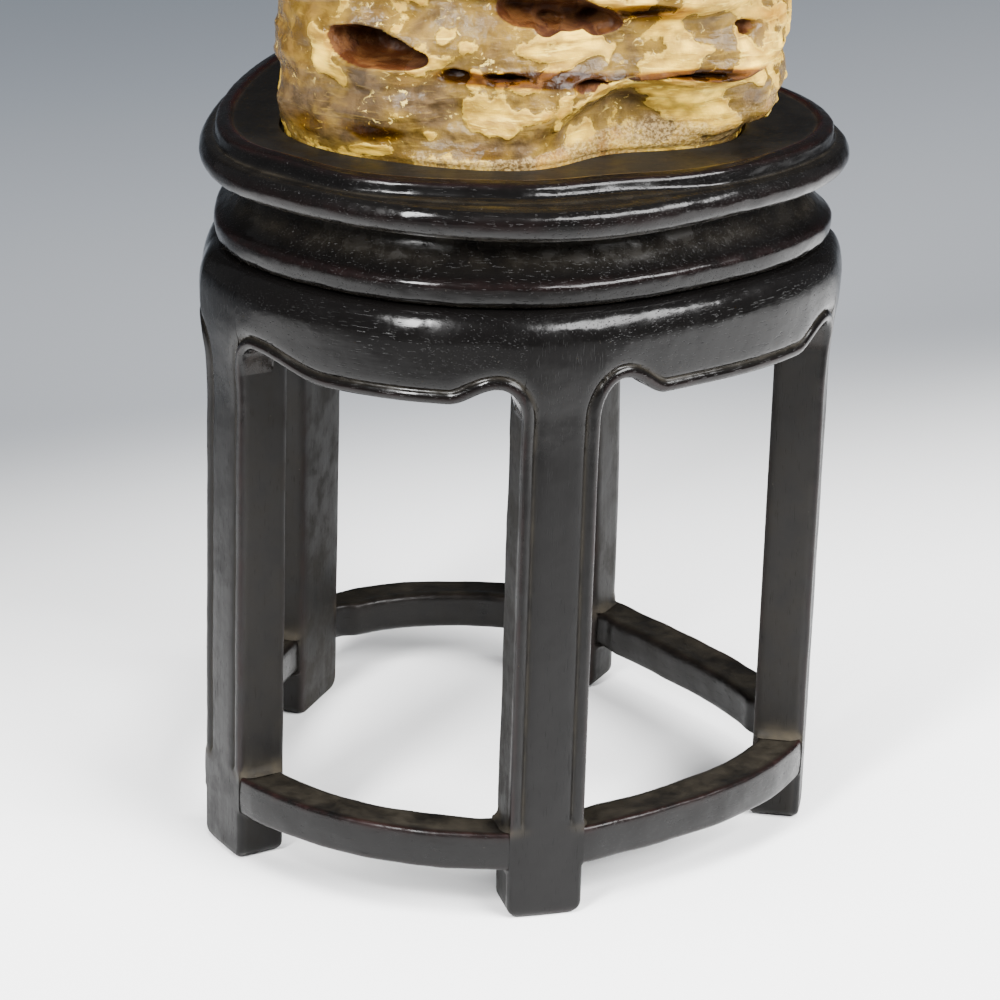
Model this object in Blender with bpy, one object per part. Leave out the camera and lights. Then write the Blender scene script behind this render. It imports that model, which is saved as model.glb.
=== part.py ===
"""A scholar's rock on a five-legged hardwood stand.

The origin is on the ground under the middle of the stand's top, +Z is up, and the front leg faces -Y.
The stand's plan is one irregular, five-cornered outline: the line of the outer faces of its legs and
stretchers. Every moulding is set out from that line by a distance called "out", which is negative inwards.
"""
import math

import bmesh
import bpy
import numpy as np
from mathutils import Vector, noise

MM = 0.001
GAP = 0.3 * MM            # left between pieces that touch

# Heights above the ground.
STRETCHER_FOOT = 11.1 * MM
STRETCHER_HEAD = 19.5 * MM
BULGE_START = 100 * MM    # the aprons and leg heads begin to swell here
BULGE_FULL = 124.5 * MM   # and are fullest here
SWELLING = [109 * MM, 118 * MM]       # levels that shape the bulge below its fullest
SHOULDER = [129.6 * MM, 131.8 * MM]   # and above it
FRAME_HEAD = 132.0 * MM   # top of the legs and aprons
BOARD_HEAD = 156.7 * MM   # the flat top that carries the rock

# The frame's wood.
LEG_DEPTH = 11 * MM
STRETCHER_DEPTH = 10 * MM
APRON_DEPTH = 7.5 * MM    # measured inwards from the outline
BULGE = 1.4 * MM
SHOULDER_IN = 3 * MM      # how far the top edge of the bulge turns in
EDGE = 1.3 * MM           # roundness of long edges
APRON_EDGE = 113 * MM     # lower edge between the cusps
ARCH_TIP = 109.5 * MM     # where the edge leaves the leg
ARCH_HEAD = 116.8 * MM    # top of the small arch beside each leg
ARCH_REACH = 5.2 * MM     # from the leg to the top of the arch
CUSP_REACH = 10 * MM      # from the top of the arch down to the cusp
ARCH_STEPS = [0, 0.5, 1.6, 3.2, 5.2, 8.5, 11.5, 15.2]   # in millimetres from the leg, across arch and cusp
TURNING = 12 * MM         # near a leg a side turns, over this length, to lie flat against it
CROWN = 0.3 * MM          # how far the face of a leg stands out between its edges
FOOT_ROUND = 1.2 * MM     # of the leg's foot
BAR_ROUND = 0.8 * MM      # of the stretcher's edges
BAR_IN = 0.3 * MM         # the stretchers' outer face lies this far inside the outline

# Plan of the stand in millimetres, anticlockwise. Each leg lies on it at one of these points.
LEGS = {                  # name: (x, y, width, the direction that it faces in degrees)
    "leg_front_left": (-60.9, -40.3, 16, 211),
    "leg_front": (8.8, -69.0, 16, 286),
    "leg_right": (65.9, -10.0, 16, 353),
    "leg_back": (18.0, 65.0, 16, 64),
    "leg_back_left": (-54.6, 43.9, 21.5, 160),
}
SIDES = [                 # name of each side, and the points its bow passes through
    ("front_left", [(-41.5, -60.8), (-21.5, -69.6)]),
    ("front_right", [(36.0, -54.0), (52.5, -39.0)]),
    ("back_right", [(61.0, 13.0), (45.5, 37.0)]),
    ("back", [(-15.5, 71.0), (-38.5, 63.5)]),
    ("left", [(-63.0, 16.0), (-65.9, -16.0)]),
]

# Mouldings as (out, height) in millimetres, from the bottom up. The third number is the share of the
# rim's wandering that a line of the board's moulding takes.
BOARD_MOULDING = [
    (-5.8, 147.0, 0), (-0.9, 147.1, 0), (0.9, 147.9, 0), (2.0, 149.3, 0), (2.3, 150.9, 0), (1.8, 152.5, 0),
    (0.4, 153.6, 0.4), (-0.8, 153.9, 0.6), (-1.4, 155.3, 0.8), (-2.2, 156.6, 1), (-3.4, 157.3, 1),
    (-4.4, 157.3, 1), (-5.4, 156.7, 1),
]
WAIST_MOULDING = [
    (-3.4, 132.3, 0), (-2.0, 132.9, 0), (-1.1, 134.8, 0), (-1.0, 137.0, 0), (-2.6, 138.7, 0),
    (-5.2, 141.2, 0), (-7.0, 143.9, 0), (-7.5, 146.7, 0),
]
RIM_WANDER = [            # (direction from the middle, how far the rim stands in, over how many degrees)
    (264, 3.8, 17),
    (287, 4.0, 12),
    (228, 1.5, 9),
]
RING_STEPS = 56

# The rock, in millimetres and degrees. Heights are above the board that it stands on.
SEAT_DEEP = 1.8
SEAT_ROOM = 0.5           # round the foot of the rock
ROCK_AXIS = (-0.6, -3.7)
ROCK_HEIGHT = 138.0
ROCK_HALF_WIDTH = 53.5
ROCK_HALF_DEPTH = 51.0
ROCK_SQUARENESS = 2.7     # of the plan, where 2 is an ellipse
DOME_SQUARENESS = 3.0     # of the upright outline
ROCK_TAPER = 0.10         # narrower at the top by this share
ROCK_LEAN = (-7.0, 5.0)   # the top's shift in x and y
FOOT_HEIGHT = 17.0        # the foot widens into the body over this height
ROCK_FOOT = [             # outline of the foot, anticlockwise
    (-48.1, -32.7), (-39.0, -43.5), (-22.5, -51.5), (-7.5, -54.5), (3.5, -52.0), (15.5, -40.2), (30.5, -34.2),
    (41.5, -25.7), (45.5, -5.0), (41.4, 19.3), (19.4, 38.3), (-13.5, 46.3), (-38.6, 33.3), (-48.1, 0.3),
]
LUMPS = [                 # (push, size, seed, how many times wider than tall) of its lumps, broad ones first
    (9.0, 75, 9, 1.0),
    (4.5, 38, 2, 1.8),
    (2.6, 19, 3, 1.8),
    (1.4, 9, 4, 1.8),
]
LOBES = [                 # (x, y, height, spread, push) of the big swells and saddles
    (-44, 22, 98, 36, 11),
    (46, -14, 50, 30, 2),
    (30, 14, 122, 32, -16),
    (-10, -34, 128, 24, -7),
    (14, 44, 60, 30, -6),
    (-54, -6, 18, 26, -3),
    (55, -8, 16, 16, 1),
]
LEDGES = [                # (height, depth, slope in x, slope in y) of the undercuts between its layers
    (17.5, 5.5, 0.02, 0.0),
    (36.0, 4.0, 0.05, 0.10),
    (58.0, 6.0, -0.10, 0.08),
    (79.0, 5.0, 0.12, -0.06),
    (101.0, 5.5, -0.06, -0.12),
    (121.0, 4.0, 0.10, 0.10),
]
WAVE = 9.0                # how far the undercuts wander up and down
HOLLOWS = [               # (direction, height, width, tallness, depth, tilt)
    (236.5, 21.2, 19.5, 8.0, 12, -9),
    (277.5, 31.2, 27, 8.0, 13, -5),
    (275.3, 28.6, 6.5, 5.0, 9, 0),
    (288.0, 28.8, 9, 5.4, 9, 0),
    (287.2, 14.9, 7.0, 5.0, 8, -12),
    (294.5, 15.4, 12, 2.5, 6, 2),
    (312.0, 16.9, 16, 2.6, 2.5, 4),
    (266.5, 18.1, 9, 2.0, 4, -2),
    (254.5, 18.3, 6.5, 3.0, 2.5, 0),
    (322.5, 26.6, 3.4, 3.0, 3.5, 15),
    (297.5, 31.5, 13, 3.0, 3.0, 3),
    (203, 64.0, 20, 11, 12, 12),
    (253, 73.0, 34, 13, 16, -10),
    (299, 61.0, 17, 10, 10, 14),
    (335, 88.0, 24, 10, 13, -12),
    (286, 104.0, 20, 9, 10, 8),
    (18, 44.0, 28, 10, 12, 8),
    (52, 70.0, 22, 16, 15, -18),
    (96, 34.0, 30, 10, 13, 5),
    (122, 86.0, 26, 13, 13, -8),
    (158, 48.0, 19, 11, 11, 12),
    (184, 98.0, 16, 9, 9, 0),
]
SWING = 50.0              # the radius at which widths round the rock are measured
ROCK_RINGS = 92
ROCK_STEPS = 104
ROCK_KEPT = 0.225         # share of the faces that the faceted rock keeps


# ---------------------------------------------------------------- helpers

def clear_scene():
    for item in list(bpy.data.objects):
        bpy.data.objects.remove(item, do_unlink=True)


def material(name, colour, roughness, metallic=0.0):
    made = bpy.data.materials.new(name)
    made.use_nodes = True
    shader = made.node_tree.nodes["Principled BSDF"]
    shader.inputs["Base Color"].default_value = (*colour, 1.0)
    shader.inputs["Roughness"].default_value = roughness
    shader.inputs["Metallic"].default_value = metallic
    return made


def new_object(name, bm, look, sharp_angle=35):
    """One named object from a bmesh, its faces pointing out and its round parts shaded smooth."""
    bmesh.ops.recalc_face_normals(bm, faces=bm.faces)
    mesh = bpy.data.meshes.new(name)
    bm.to_mesh(mesh)
    bm.free()
    mesh.materials.append(look)
    mesh.shade_smooth()
    mesh.set_sharp_from_angle(angle=math.radians(sharp_angle))
    made = bpy.data.objects.new(name, mesh)
    bpy.context.scene.collection.objects.link(made)
    return made


def loft(rings):
    """A closed solid through a list of rings with equal point counts, flat at its first and last ring."""
    bm = bmesh.new()
    grid = [[bm.verts.new(point) for point in ring] for ring in rings]
    for low, high in zip(grid, grid[1:]):
        for i in range(len(low)):
            bm.faces.new((low[i - 1], low[i], high[i], high[i - 1]))
    bm.faces.new(grid[0][::-1])
    bm.faces.new(grid[-1])
    return bm


def ease(value):
    """0 to 1 with a soft start and a soft end."""
    value = np.clip(value, 0.0, 1.0)
    return value * value * (3 - 2 * value)


def turn(bearing, start):
    """The turn in degrees from one direction to another, between -180 and 180."""
    return np.mod(bearing - start + 180, 360) - 180


def closed_curve(points, steps):
    """Points along the smooth closed curve through the given points."""
    points = np.array(points, float)
    count = len(points)
    ahead = np.roll(points, -1, 0)
    behind = np.roll(points, 1, 0)
    span = np.linalg.norm(ahead - points, axis=1)
    last = np.roll(span, 1)
    system = np.diag(2 * (last + span))
    for i in range(count):
        system[i, i - 1] += last[i]
        system[i, (i + 1) % count] += span[i]
    bend = np.linalg.solve(system, 6 * ((ahead - points) / span[:, None] - (points - behind) / last[:, None]))
    knots = np.concatenate([[0], np.cumsum(span)])
    along = np.linspace(0, knots[-1], steps, endpoint=False)
    at = np.clip(np.searchsorted(knots, along, side="right") - 1, 0, count - 1)
    to = (at + 1) % count
    a = ((knots[at + 1] - along) / span[at])[:, None]
    b = 1 - a
    bow = ((a ** 3 - a) * bend[at] + (b ** 3 - b) * bend[to]) * (span[at] ** 2 / 6)[:, None]
    return a * points[at] + b * points[to] + bow


def outward(points):
    """The unit normals of a closed anticlockwise curve."""
    run = np.roll(points, -1, 0) - np.roll(points, 1, 0)
    run /= np.linalg.norm(run, axis=1)[:, None]
    return np.stack([run[:, 1], -run[:, 0]], axis=1)


# ---------------------------------------------------------------- the stand's plan

def plan_points():
    points = []
    for (x, y, _, _), (_, bow) in zip(LEGS.values(), SIDES):
        points.append((x, y))
        points.extend(bow)
    return np.array(points) * MM


PLAN_FINENESS = 2400
PLAN = closed_curve(plan_points(), PLAN_FINENESS)
PLAN_NORMALS = outward(PLAN)


class Leg:
    """Where a leg stands in the plan: its middle, the way it faces, and the way along the outline."""

    def __init__(self, name):
        x, y, width, facing = LEGS[name]
        self.name = name
        self.middle = np.array((x, y)) * MM
        self.width = width * MM
        facing = math.radians(facing)
        self.face = np.array((math.cos(facing), math.sin(facing)))
        self.along = np.array((-math.sin(facing), math.cos(facing)))
        self.station = int(np.argmin(np.linalg.norm(PLAN - self.middle, axis=1)))

    def place(self, across, out):
        return self.middle + across * self.along + out * self.face


def bulge(height):
    """How far the frame's outer face swells out at a height."""
    if height < BULGE_FULL:
        return BULGE * float(ease((height - BULGE_START) / (BULGE_FULL - BULGE_START)))
    rise = (height - BULGE_FULL) / (FRAME_HEAD - BULGE_FULL)
    return BULGE - (BULGE + SHOULDER_IN) * (1 - math.sqrt(max(0.0, 1 - rise * rise)))


def side_path(start, end, distances):
    """Places and outward directions along one side, from leg to leg.

    distances run from 0 at the first leg's flank to 1 at the next leg's. Near each leg the side turns
    until its end lies flat against the leg's flank."""
    count = len(PLAN)
    reach = (end.station - start.station) % count
    stations = np.arange(start.station, start.station + reach + 1) % count
    path = PLAN[stations]
    first = start.place(start.width / 2 + GAP, 0)
    last = end.place(-end.width / 2 - GAP, 0)
    begin = int(np.argmin(np.linalg.norm(path - first, axis=1)))
    finish = int(np.argmin(np.linalg.norm(path - last, axis=1)))
    path = path[begin:finish + 1]
    normals = PLAN_NORMALS[stations][begin:finish + 1]
    run = np.concatenate([[0], np.cumsum(np.linalg.norm(np.diff(path, axis=0), axis=1))])
    near_first = 1 - ease(run / TURNING)
    near_last = 1 - ease((run[-1] - run) / TURNING)
    path = path + near_first[:, None] * (first - path[0]) + near_last[:, None] * (last - path[-1])
    rest = 1 - near_first - near_last
    normals = rest[:, None] * normals + near_first[:, None] * start.face + near_last[:, None] * end.face
    normals /= np.linalg.norm(normals, axis=1)[:, None]
    wanted = np.array(distances) * run[-1]
    places = np.stack([np.interp(wanted, run, path[:, i]) for i in (0, 1)], axis=1)
    directions = np.stack([np.interp(wanted, run, normals[:, i]) for i in (0, 1)], axis=1)
    return places, directions, wanted, run[-1]


# ---------------------------------------------------------------- the stand's pieces

def moulded(name, moulding, look):
    """A solid turned along the whole outline from a moulding, flat above and below."""
    stations = (np.arange(RING_STEPS) * PLAN_FINENESS) // RING_STEPS
    spots = PLAN[stations]
    bearing = np.degrees(np.arctan2(spots[:, 1], spots[:, 0]))
    wander = sum(inwards * np.exp(-(turn(bearing, at) / spread) ** 2) for at, inwards, spread in RIM_WANDER)
    rings = []
    for out, height, give in moulding:
        outs = (out - give * wander) * MM
        spots = PLAN[stations] + outs[:, None] * PLAN_NORMALS[stations]
        rings.append([(x, y, height * MM) for x, y in spots])
    return new_object(name, loft(rings), look)


def leg_section(leg, height, inset=0.0):
    """One level of a leg: a rounded oblong whose outer face follows the bulge."""
    half = leg.width / 2 - inset
    front = bulge(height) - inset
    back = -LEG_DEPTH + inset
    outline = [
        (-half, back + EDGE), (-half + EDGE, back), (half - EDGE, back), (half, back + EDGE),
        (half, front - EDGE), (half - EDGE, front - CROWN), (0, front), (-half + EDGE, front - CROWN),
        (-half, front - EDGE),
    ]
    return [(*leg.place(across, out), height) for across, out in outline]


def make_leg(leg, look):
    levels = [FOOT_ROUND, BULGE_START, *SWELLING, BULGE_FULL, *SHOULDER, FRAME_HEAD]
    rings = [leg_section(leg, 0.0, FOOT_ROUND * 0.8)]
    rings += [leg_section(leg, height) for height in levels]
    return new_object(leg.name, loft(rings), look)


def arch(distance):
    """Height of an apron's lower edge at a distance from the nearer leg."""
    if distance < ARCH_REACH:
        rise = 1 - distance / ARCH_REACH
        return ARCH_TIP + (ARCH_HEAD - ARCH_TIP) * math.sqrt(1 - rise * rise)
    fall = min(1.0, (distance - ARCH_REACH) / CUSP_REACH)
    return APRON_EDGE + (ARCH_HEAD - APRON_EDGE) * (0.5 + 0.5 * math.cos(math.pi * fall))


def make_apron(name, start, end, look):
    length = side_path(start, end, [0])[3]
    steps = [step * MM / length for step in ARCH_STEPS]
    middle = list(np.linspace(steps[-1], 1 - steps[-1], 5)[1:-1])
    distances = steps + middle + [1 - step for step in reversed(steps)]
    places, directions, run, length = side_path(start, end, distances)
    rings = []
    for place, direction, distance in zip(places, directions, run):
        edge = arch(min(distance, length - distance))
        levels = [edge, edge + EDGE, 0.5 * (edge + BULGE_FULL), BULGE_FULL, *SHOULDER, FRAME_HEAD]
        outs = [bulge(level) for level in levels]
        outs[0] -= EDGE
        section = list(zip(outs, levels)) + [(-APRON_DEPTH, FRAME_HEAD), (-APRON_DEPTH, edge)]
        rings.append([(*(place + out * direction), level) for out, level in section])
    return new_object(name, loft(rings), look)


def make_stretcher(name, start, end, look):
    outer = -BAR_IN
    inner = -STRETCHER_DEPTH
    section = [
        (inner, STRETCHER_FOOT + BAR_ROUND), (inner + BAR_ROUND, STRETCHER_FOOT),
        (outer - BAR_ROUND, STRETCHER_FOOT), (outer, STRETCHER_FOOT + BAR_ROUND),
        (outer, STRETCHER_HEAD - BAR_ROUND), (outer - BAR_ROUND, STRETCHER_HEAD),
        (inner + BAR_ROUND, STRETCHER_HEAD), (inner, STRETCHER_HEAD - BAR_ROUND),
    ]
    places, directions, _, _ = side_path(start, end, np.linspace(0, 1, 9))
    rings = []
    for place, direction in zip(places, directions):
        rings.append([(*(place + out * direction), level) for out, level in section])
    return new_object(name, loft(rings), look)


# ---------------------------------------------------------------- the rock

def foot_radius(angles):
    """Distance of the foot's outline from the rock's axis, by direction."""
    curve = closed_curve(ROCK_FOOT, 1440) - np.array(ROCK_AXIS)
    directions = np.mod(np.arctan2(curve[:, 1], curve[:, 0]), 2 * math.pi)
    order = np.argsort(directions)
    return np.interp(angles, directions[order], np.hypot(*curve.T)[order], period=2 * math.pi)


def body_radius(angles):
    side = (np.abs(np.cos(angles)) / ROCK_HALF_WIDTH) ** ROCK_SQUARENESS
    side += (np.abs(np.sin(angles)) / ROCK_HALF_DEPTH) ** ROCK_SQUARENESS
    return side ** (-1 / ROCK_SQUARENESS)


def upright_outline(count):
    """(share of the full radius, height) at equal steps from the foot over to the top."""
    rise = np.linspace(0, math.pi / 2, 4000)
    share = np.cos(rise) ** (2 / DOME_SQUARENESS)
    height = ROCK_HEIGHT * np.sin(rise) ** (2 / DOME_SQUARENESS)
    run = np.hypot(np.diff(share) * ROCK_HALF_WIDTH, np.diff(height))
    run = np.concatenate([[0], np.cumsum(run)])
    steps = np.linspace(0, run[-1], count)
    return np.interp(steps, run, share), np.interp(steps, run, height)


def plain_rock(angles, share, height):
    """The boulder before weathering: places in millimetres, for directions and points of the outline."""
    widening = ease(height / FOOT_HEIGHT) ** 0.75
    radius = foot_radius(angles) * (1 - widening) + body_radius(angles) * widening
    radius = radius * share * (1 - ROCK_TAPER * height / ROCK_HEIGHT)
    lean = (height / ROCK_HEIGHT) ** 2
    x = ROCK_AXIS[0] + ROCK_LEAN[0] * lean + radius * np.cos(angles)
    y = ROCK_AXIS[1] + ROCK_LEAN[1] * lean + radius * np.sin(angles)
    return np.stack([x, y, height], axis=-1)


def rough(points, size, seed):
    """Smooth noise from about -1 to 1 whose lumps are about the given size."""
    shift = Vector((seed * 7.31, seed * 3.17, seed * 5.73))
    flat = points.reshape(-1, 3)
    values = [noise.noise(Vector(point) / size + shift) for point in flat]
    return np.array(values).reshape(points.shape[:-1])


def weathering(points, angles):
    """How far the rock's skin stands out from the plain boulder: its lumps, ledges and hollows."""
    height = points[..., 2]
    depth = np.zeros_like(height)
    for push, size, seed, layering in LUMPS:
        depth += push * rough(points * (1, 1, layering), size, seed)
    for x, y, level, spread, push in LOBES:
        away = np.linalg.norm(points - (x, y, level), axis=-1)
        depth += push * np.exp(-(away / spread) ** 2)
    wave = WAVE * rough(points * (1, 1, 0.25), 46, 5)
    for i, (level, deep, slope_x, slope_y) in enumerate(LEDGES):
        above = height - level - wave - slope_x * points[..., 0] - slope_y * points[..., 1]
        strength = ease(0.55 + 2.0 * rough(points * (1, 1, 0.4), 36, 10 + i))
        groove = np.exp(-(above / np.where(above > 0, 1.8, 6.5)) ** 2)
        depth -= deep * strength * groove
    ragged = 1 + 0.4 * rough(points, 8, 6)
    for facing, level, width, tallness, deep, tilt in HOLLOWS:
        across = np.radians(turn(np.degrees(angles), facing)) * SWING
        above = height - level
        tilt = math.radians(tilt)
        u = (across * math.cos(tilt) + above * math.sin(tilt)) / (width / 2)
        v = (above * math.cos(tilt) - across * math.sin(tilt)) / (tallness / 2)
        inside = 1 - (np.abs(u) ** 2.3 + np.abs(v) ** 2.3) * ragged
        depth -= deep * ease(inside / 0.6)
    return depth * ease((height - 0.5) / 6)


def rock_rings():
    """The weathered rock as rings of places in metres, from its underside to its top."""
    share, level = upright_outline(ROCK_RINGS)
    share = share[:-1]
    level = level[:-1]
    angles = np.linspace(0, 2 * math.pi, ROCK_STEPS, endpoint=False)
    grid_angles, grid_share = np.meshgrid(angles, share)
    grid_level = np.meshgrid(angles, level)[1]
    plain = plain_rock(grid_angles, grid_share, grid_level)
    upright = np.gradient(plain, axis=0)
    around = np.roll(plain, -1, 1) - np.roll(plain, 1, 1)
    normals = np.cross(around, upright)
    normals /= np.linalg.norm(normals, axis=2)[..., None]
    skin = plain + normals * weathering(plain, grid_angles)[..., None]
    skin[..., 2] += BOARD_HEAD / MM
    under = skin[0].copy()
    under[:, 2] = BOARD_HEAD / MM - SEAT_DEEP + GAP / MM
    return np.concatenate([under[None], skin]) * MM


def make_rock(look):
    rings = rock_rings()
    made = new_object("rock", loft(rings.tolist()), look, sharp_angle=180)
    foot = made.vertex_groups.new(name="foot")
    foot.add(list(range(2 * ROCK_STEPS)), 1.0, "REPLACE")
    facets = made.modifiers.new("facets", "DECIMATE")
    facets.ratio = ROCK_KEPT
    facets.vertex_group = "foot"
    facets.invert_vertex_group = True
    facets.use_collapse_triangulate = True
    return made


def cut_seat(board):
    """The shallow recess in the board that the rock's foot stands in."""
    curve = closed_curve(ROCK_FOOT, 96)
    curve = (curve + SEAT_ROOM * outward(curve)) * MM
    floor = BOARD_HEAD - SEAT_DEEP * MM
    rings = [[(x, y, level) for x, y in curve] for level in (floor, BOARD_HEAD + 3 * MM)]
    cutter = new_object("seat_cutter", loft(rings), board.data.materials[0])
    cutter.hide_render = True
    cutter.display_type = "WIRE"
    seat = board.modifiers.new("seat", "BOOLEAN")
    seat.operation = "DIFFERENCE"
    seat.solver = "EXACT"
    seat.object = cutter


def main():
    clear_scene()
    wood = material("dark hardwood", (0.014, 0.011, 0.010), 0.28)
    stone = material("honey chalcedony", (0.62, 0.47, 0.26), 0.42)
    legs = [Leg(name) for name in LEGS]
    board = moulded("top_board", BOARD_MOULDING, wood)
    cut_seat(board)
    moulded("waist", WAIST_MOULDING, wood)
    for i, leg in enumerate(legs):
        following = legs[(i + 1) % len(legs)]
        side = SIDES[i][0]
        make_leg(leg, wood)
        make_apron("apron_" + side, leg, following, wood)
        make_stretcher("stretcher_" + side, leg, following, wood)
    make_rock(stone)


main()
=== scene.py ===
# %% [markdown]
# # A scholar's rock on its hardwood stand
# A scholar's rock is a weathered stone that is kept indoors for its lumps, ledges and hollows. This one
# is a honey-coloured chalcedony. It rests on a small dark stand of five legs, carved to suit its foot.
# The plain solids of the part are loaded first. Every visible surface is then made again as a finer mesh
# in the same place, so the finished pieces fit the solids that carry the collision.

# %% Load the plain solids
import math

import bpy
import numpy as np
from mathutils import Matrix, Vector, noise


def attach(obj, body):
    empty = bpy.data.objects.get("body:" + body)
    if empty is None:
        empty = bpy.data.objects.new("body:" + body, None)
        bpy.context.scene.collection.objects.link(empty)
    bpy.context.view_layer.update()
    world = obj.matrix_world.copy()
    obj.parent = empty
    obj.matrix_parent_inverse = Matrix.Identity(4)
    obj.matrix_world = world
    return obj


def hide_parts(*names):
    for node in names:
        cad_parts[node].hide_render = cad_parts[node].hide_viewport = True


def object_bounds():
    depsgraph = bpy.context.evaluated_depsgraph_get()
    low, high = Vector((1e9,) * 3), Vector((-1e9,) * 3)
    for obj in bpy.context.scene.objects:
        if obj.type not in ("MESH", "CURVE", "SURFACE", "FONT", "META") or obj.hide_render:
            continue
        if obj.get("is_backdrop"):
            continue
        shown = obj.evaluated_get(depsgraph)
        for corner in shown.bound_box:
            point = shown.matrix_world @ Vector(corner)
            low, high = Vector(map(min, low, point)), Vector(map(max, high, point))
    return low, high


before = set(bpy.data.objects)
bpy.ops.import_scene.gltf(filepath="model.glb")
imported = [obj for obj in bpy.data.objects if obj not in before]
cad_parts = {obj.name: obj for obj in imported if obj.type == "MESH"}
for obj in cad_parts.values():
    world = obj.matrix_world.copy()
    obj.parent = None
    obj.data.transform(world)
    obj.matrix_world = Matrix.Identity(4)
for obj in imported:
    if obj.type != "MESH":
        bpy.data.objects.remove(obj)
cad_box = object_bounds()
MM = 0.001
print("solids:", len(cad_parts), "box:", [round(size, 4) for size in cad_box[1] - cad_box[0]])

# %% [markdown]
# ## Camera
# The stand is seen from in front and above with a long lens, so upright lines hardly lean. The camera's
# place and turn were worked out from the edges of the stand. Lengths in this script are in millimetres,
# and become metres only where a mesh, a lamp or the camera is made.

# %% Camera
CAMERA_PLACE = (-3.12, -783.67, 358.76)
CAMERA_DOWN = 0.356657  # in radians, below level
CAMERA_ROLL = 0.030538
LENS = 137.07
FILM_WIDTH = 36

camera = bpy.data.objects.new("camera", bpy.data.cameras.new("camera"))
bpy.context.scene.collection.objects.link(camera)
bpy.context.scene.camera = camera
camera.data.sensor_width = FILM_WIDTH
camera.data.lens = LENS
place = Matrix.Translation(Vector(CAMERA_PLACE) * MM)
camera.matrix_world = (place @ Matrix.Rotation(math.pi / 2 - CAMERA_DOWN, 4, "X")
                       @ Matrix.Rotation(CAMERA_ROLL, 4, "Z"))
print("camera at", [round(value, 3) for value in camera.matrix_world.translation])

# %% [markdown]
# ## Shader maths as plain sums
# Node trees are easier to read as sums. A `Wire` wraps one output socket, and its operators add Math
# nodes. A `Bench` is the tree of one material: its `node` method makes any other node, with its settings
# first and its sockets after. Colours are mixed with Mix nodes and vectors are scaled with Vector Math.

# %% Wires
class Wire:
    """One output socket of a material's tree, usable in sums."""

    def __init__(self, bench, socket):
        self.bench = bench
        self.socket = socket

    def maths(self, operation, *values):
        return self.bench.node("ShaderNodeMath", {"operation": operation}, dict(enumerate(values)))

    def __add__(self, other):
        return self.maths("ADD", self, other)

    def __sub__(self, other):
        return self.maths("SUBTRACT", self, other)

    def __rsub__(self, other):
        return self.maths("SUBTRACT", other, self)

    def __mul__(self, other):
        return self.maths("MULTIPLY", self, other)

    __radd__ = __add__
    __rmul__ = __mul__

    def clip(self):
        """The value kept between 0 and 1."""
        return self.maths("MINIMUM", self.maths("MAXIMUM", self, 0.0), 1.0)

    def between(self, low, high):
        """0 below low, 1 above high, and a soft rise from one to the other. low may be above high."""
        sockets = {"Value": self, "From Min": low, "From Max": high}
        return self.bench.node("ShaderNodeMapRange", {"interpolation_type": "SMOOTHSTEP"}, sockets)


# %% Benches
MIX_SHARE, MIX_FIRST, MIX_SECOND = 0, 6, 7  # the Mix node's sockets for colours, by number
MIX_RESULT = 2


class Bench:
    """The node tree of one material, and the helpers that fill it."""

    def __init__(self, name):
        self.material = bpy.data.materials.new(name)
        self.material.use_nodes = True
        self.tree = self.material.node_tree
        self.tree.nodes.clear()

    def node(self, kind, settings=None, sockets=None, output=0):
        """A new node. Its settings come first, then the values or wires of its sockets."""
        made = self.tree.nodes.new(kind)
        for name, value in (settings or {}).items():
            setattr(made, name, value)
        for name, value in (sockets or {}).items():
            if isinstance(value, Wire):
                self.tree.links.new(value.socket, made.inputs[name])
            else:
                made.inputs[name].default_value = value
        return Wire(self, made.outputs[output]) if len(made.outputs) else None

    def mix(self, share, first, second, blend="MIX"):
        """Colour first where share is 0 and second where it is 1. MULTIPLY tints first by second."""
        first, second = (colour if isinstance(colour, Wire) else (*colour, 1.0) for colour in (first, second))
        return self.node("ShaderNodeMix", {"data_type": "RGBA", "blend_type": blend},
                         {MIX_SHARE: share, MIX_FIRST: first, MIX_SECOND: second}, MIX_RESULT)

    def coats(self, colour, *coats):
        """A colour under coats of others, each given as (share, colour) or (share, colour, blend)."""
        for share, *over in coats:
            colour = self.mix(share, colour, *over)
        return colour

    def place(self):
        """Where a point lies in the piece's own space, in metres."""
        return self.node("ShaderNodeTexCoord", None, None, "Object")

    def stretched(self, vector, scale):
        return self.node("ShaderNodeVectorMath", {"operation": "MULTIPLY"}, {0: vector, 1: scale})

    def attribute(self, name, output="Fac"):
        """A value that the mesh carries at each of its points."""
        return self.node("ShaderNodeAttribute", {"attribute_name": name}, None, output)

    def noise(self, vector, scale, detail=2.0, rough=0.5, distortion=0.0):
        sockets = {"Vector": vector, "Scale": scale, "Detail": detail, "Roughness": rough,
                   "Distortion": distortion}
        return self.node("ShaderNodeTexNoise", None, sockets)

    def cells(self, vector, scale):
        """The distance from the middle of the nearest of many scattered cells."""
        return self.node("ShaderNodeTexVoronoi", None, {"Vector": vector, "Scale": scale}, "Distance")

    def surface(self, relief=None, **sockets):
        """Ends the tree in one Principled shader. relief is the height, strength and distance of a bump."""
        named = {name.replace("_", " "): value for name, value in sockets.items()}
        if relief:
            relief = dict(zip(("Height", "Strength", "Distance"), relief))
            named["Normal"] = self.node("ShaderNodeBump", None, relief)
        shader = self.node("ShaderNodeBsdfPrincipled", None, named)
        self.node("ShaderNodeOutputMaterial", None, {"Surface": shader})
        print(self.material.name, "has", len(self.tree.nodes), "nodes")
        return self.material


# %% [markdown]
# ## Turning rows of points into a skin
# Every piece here is a loft: rings of points with equal counts, joined by four-sided faces and closed by
# a fan at each end. Each piece also carries a few values at its points, such as where dust has settled or
# an edge is rubbed, and the materials read them. `rough` is smooth noise with lumps of a given size.

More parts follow.
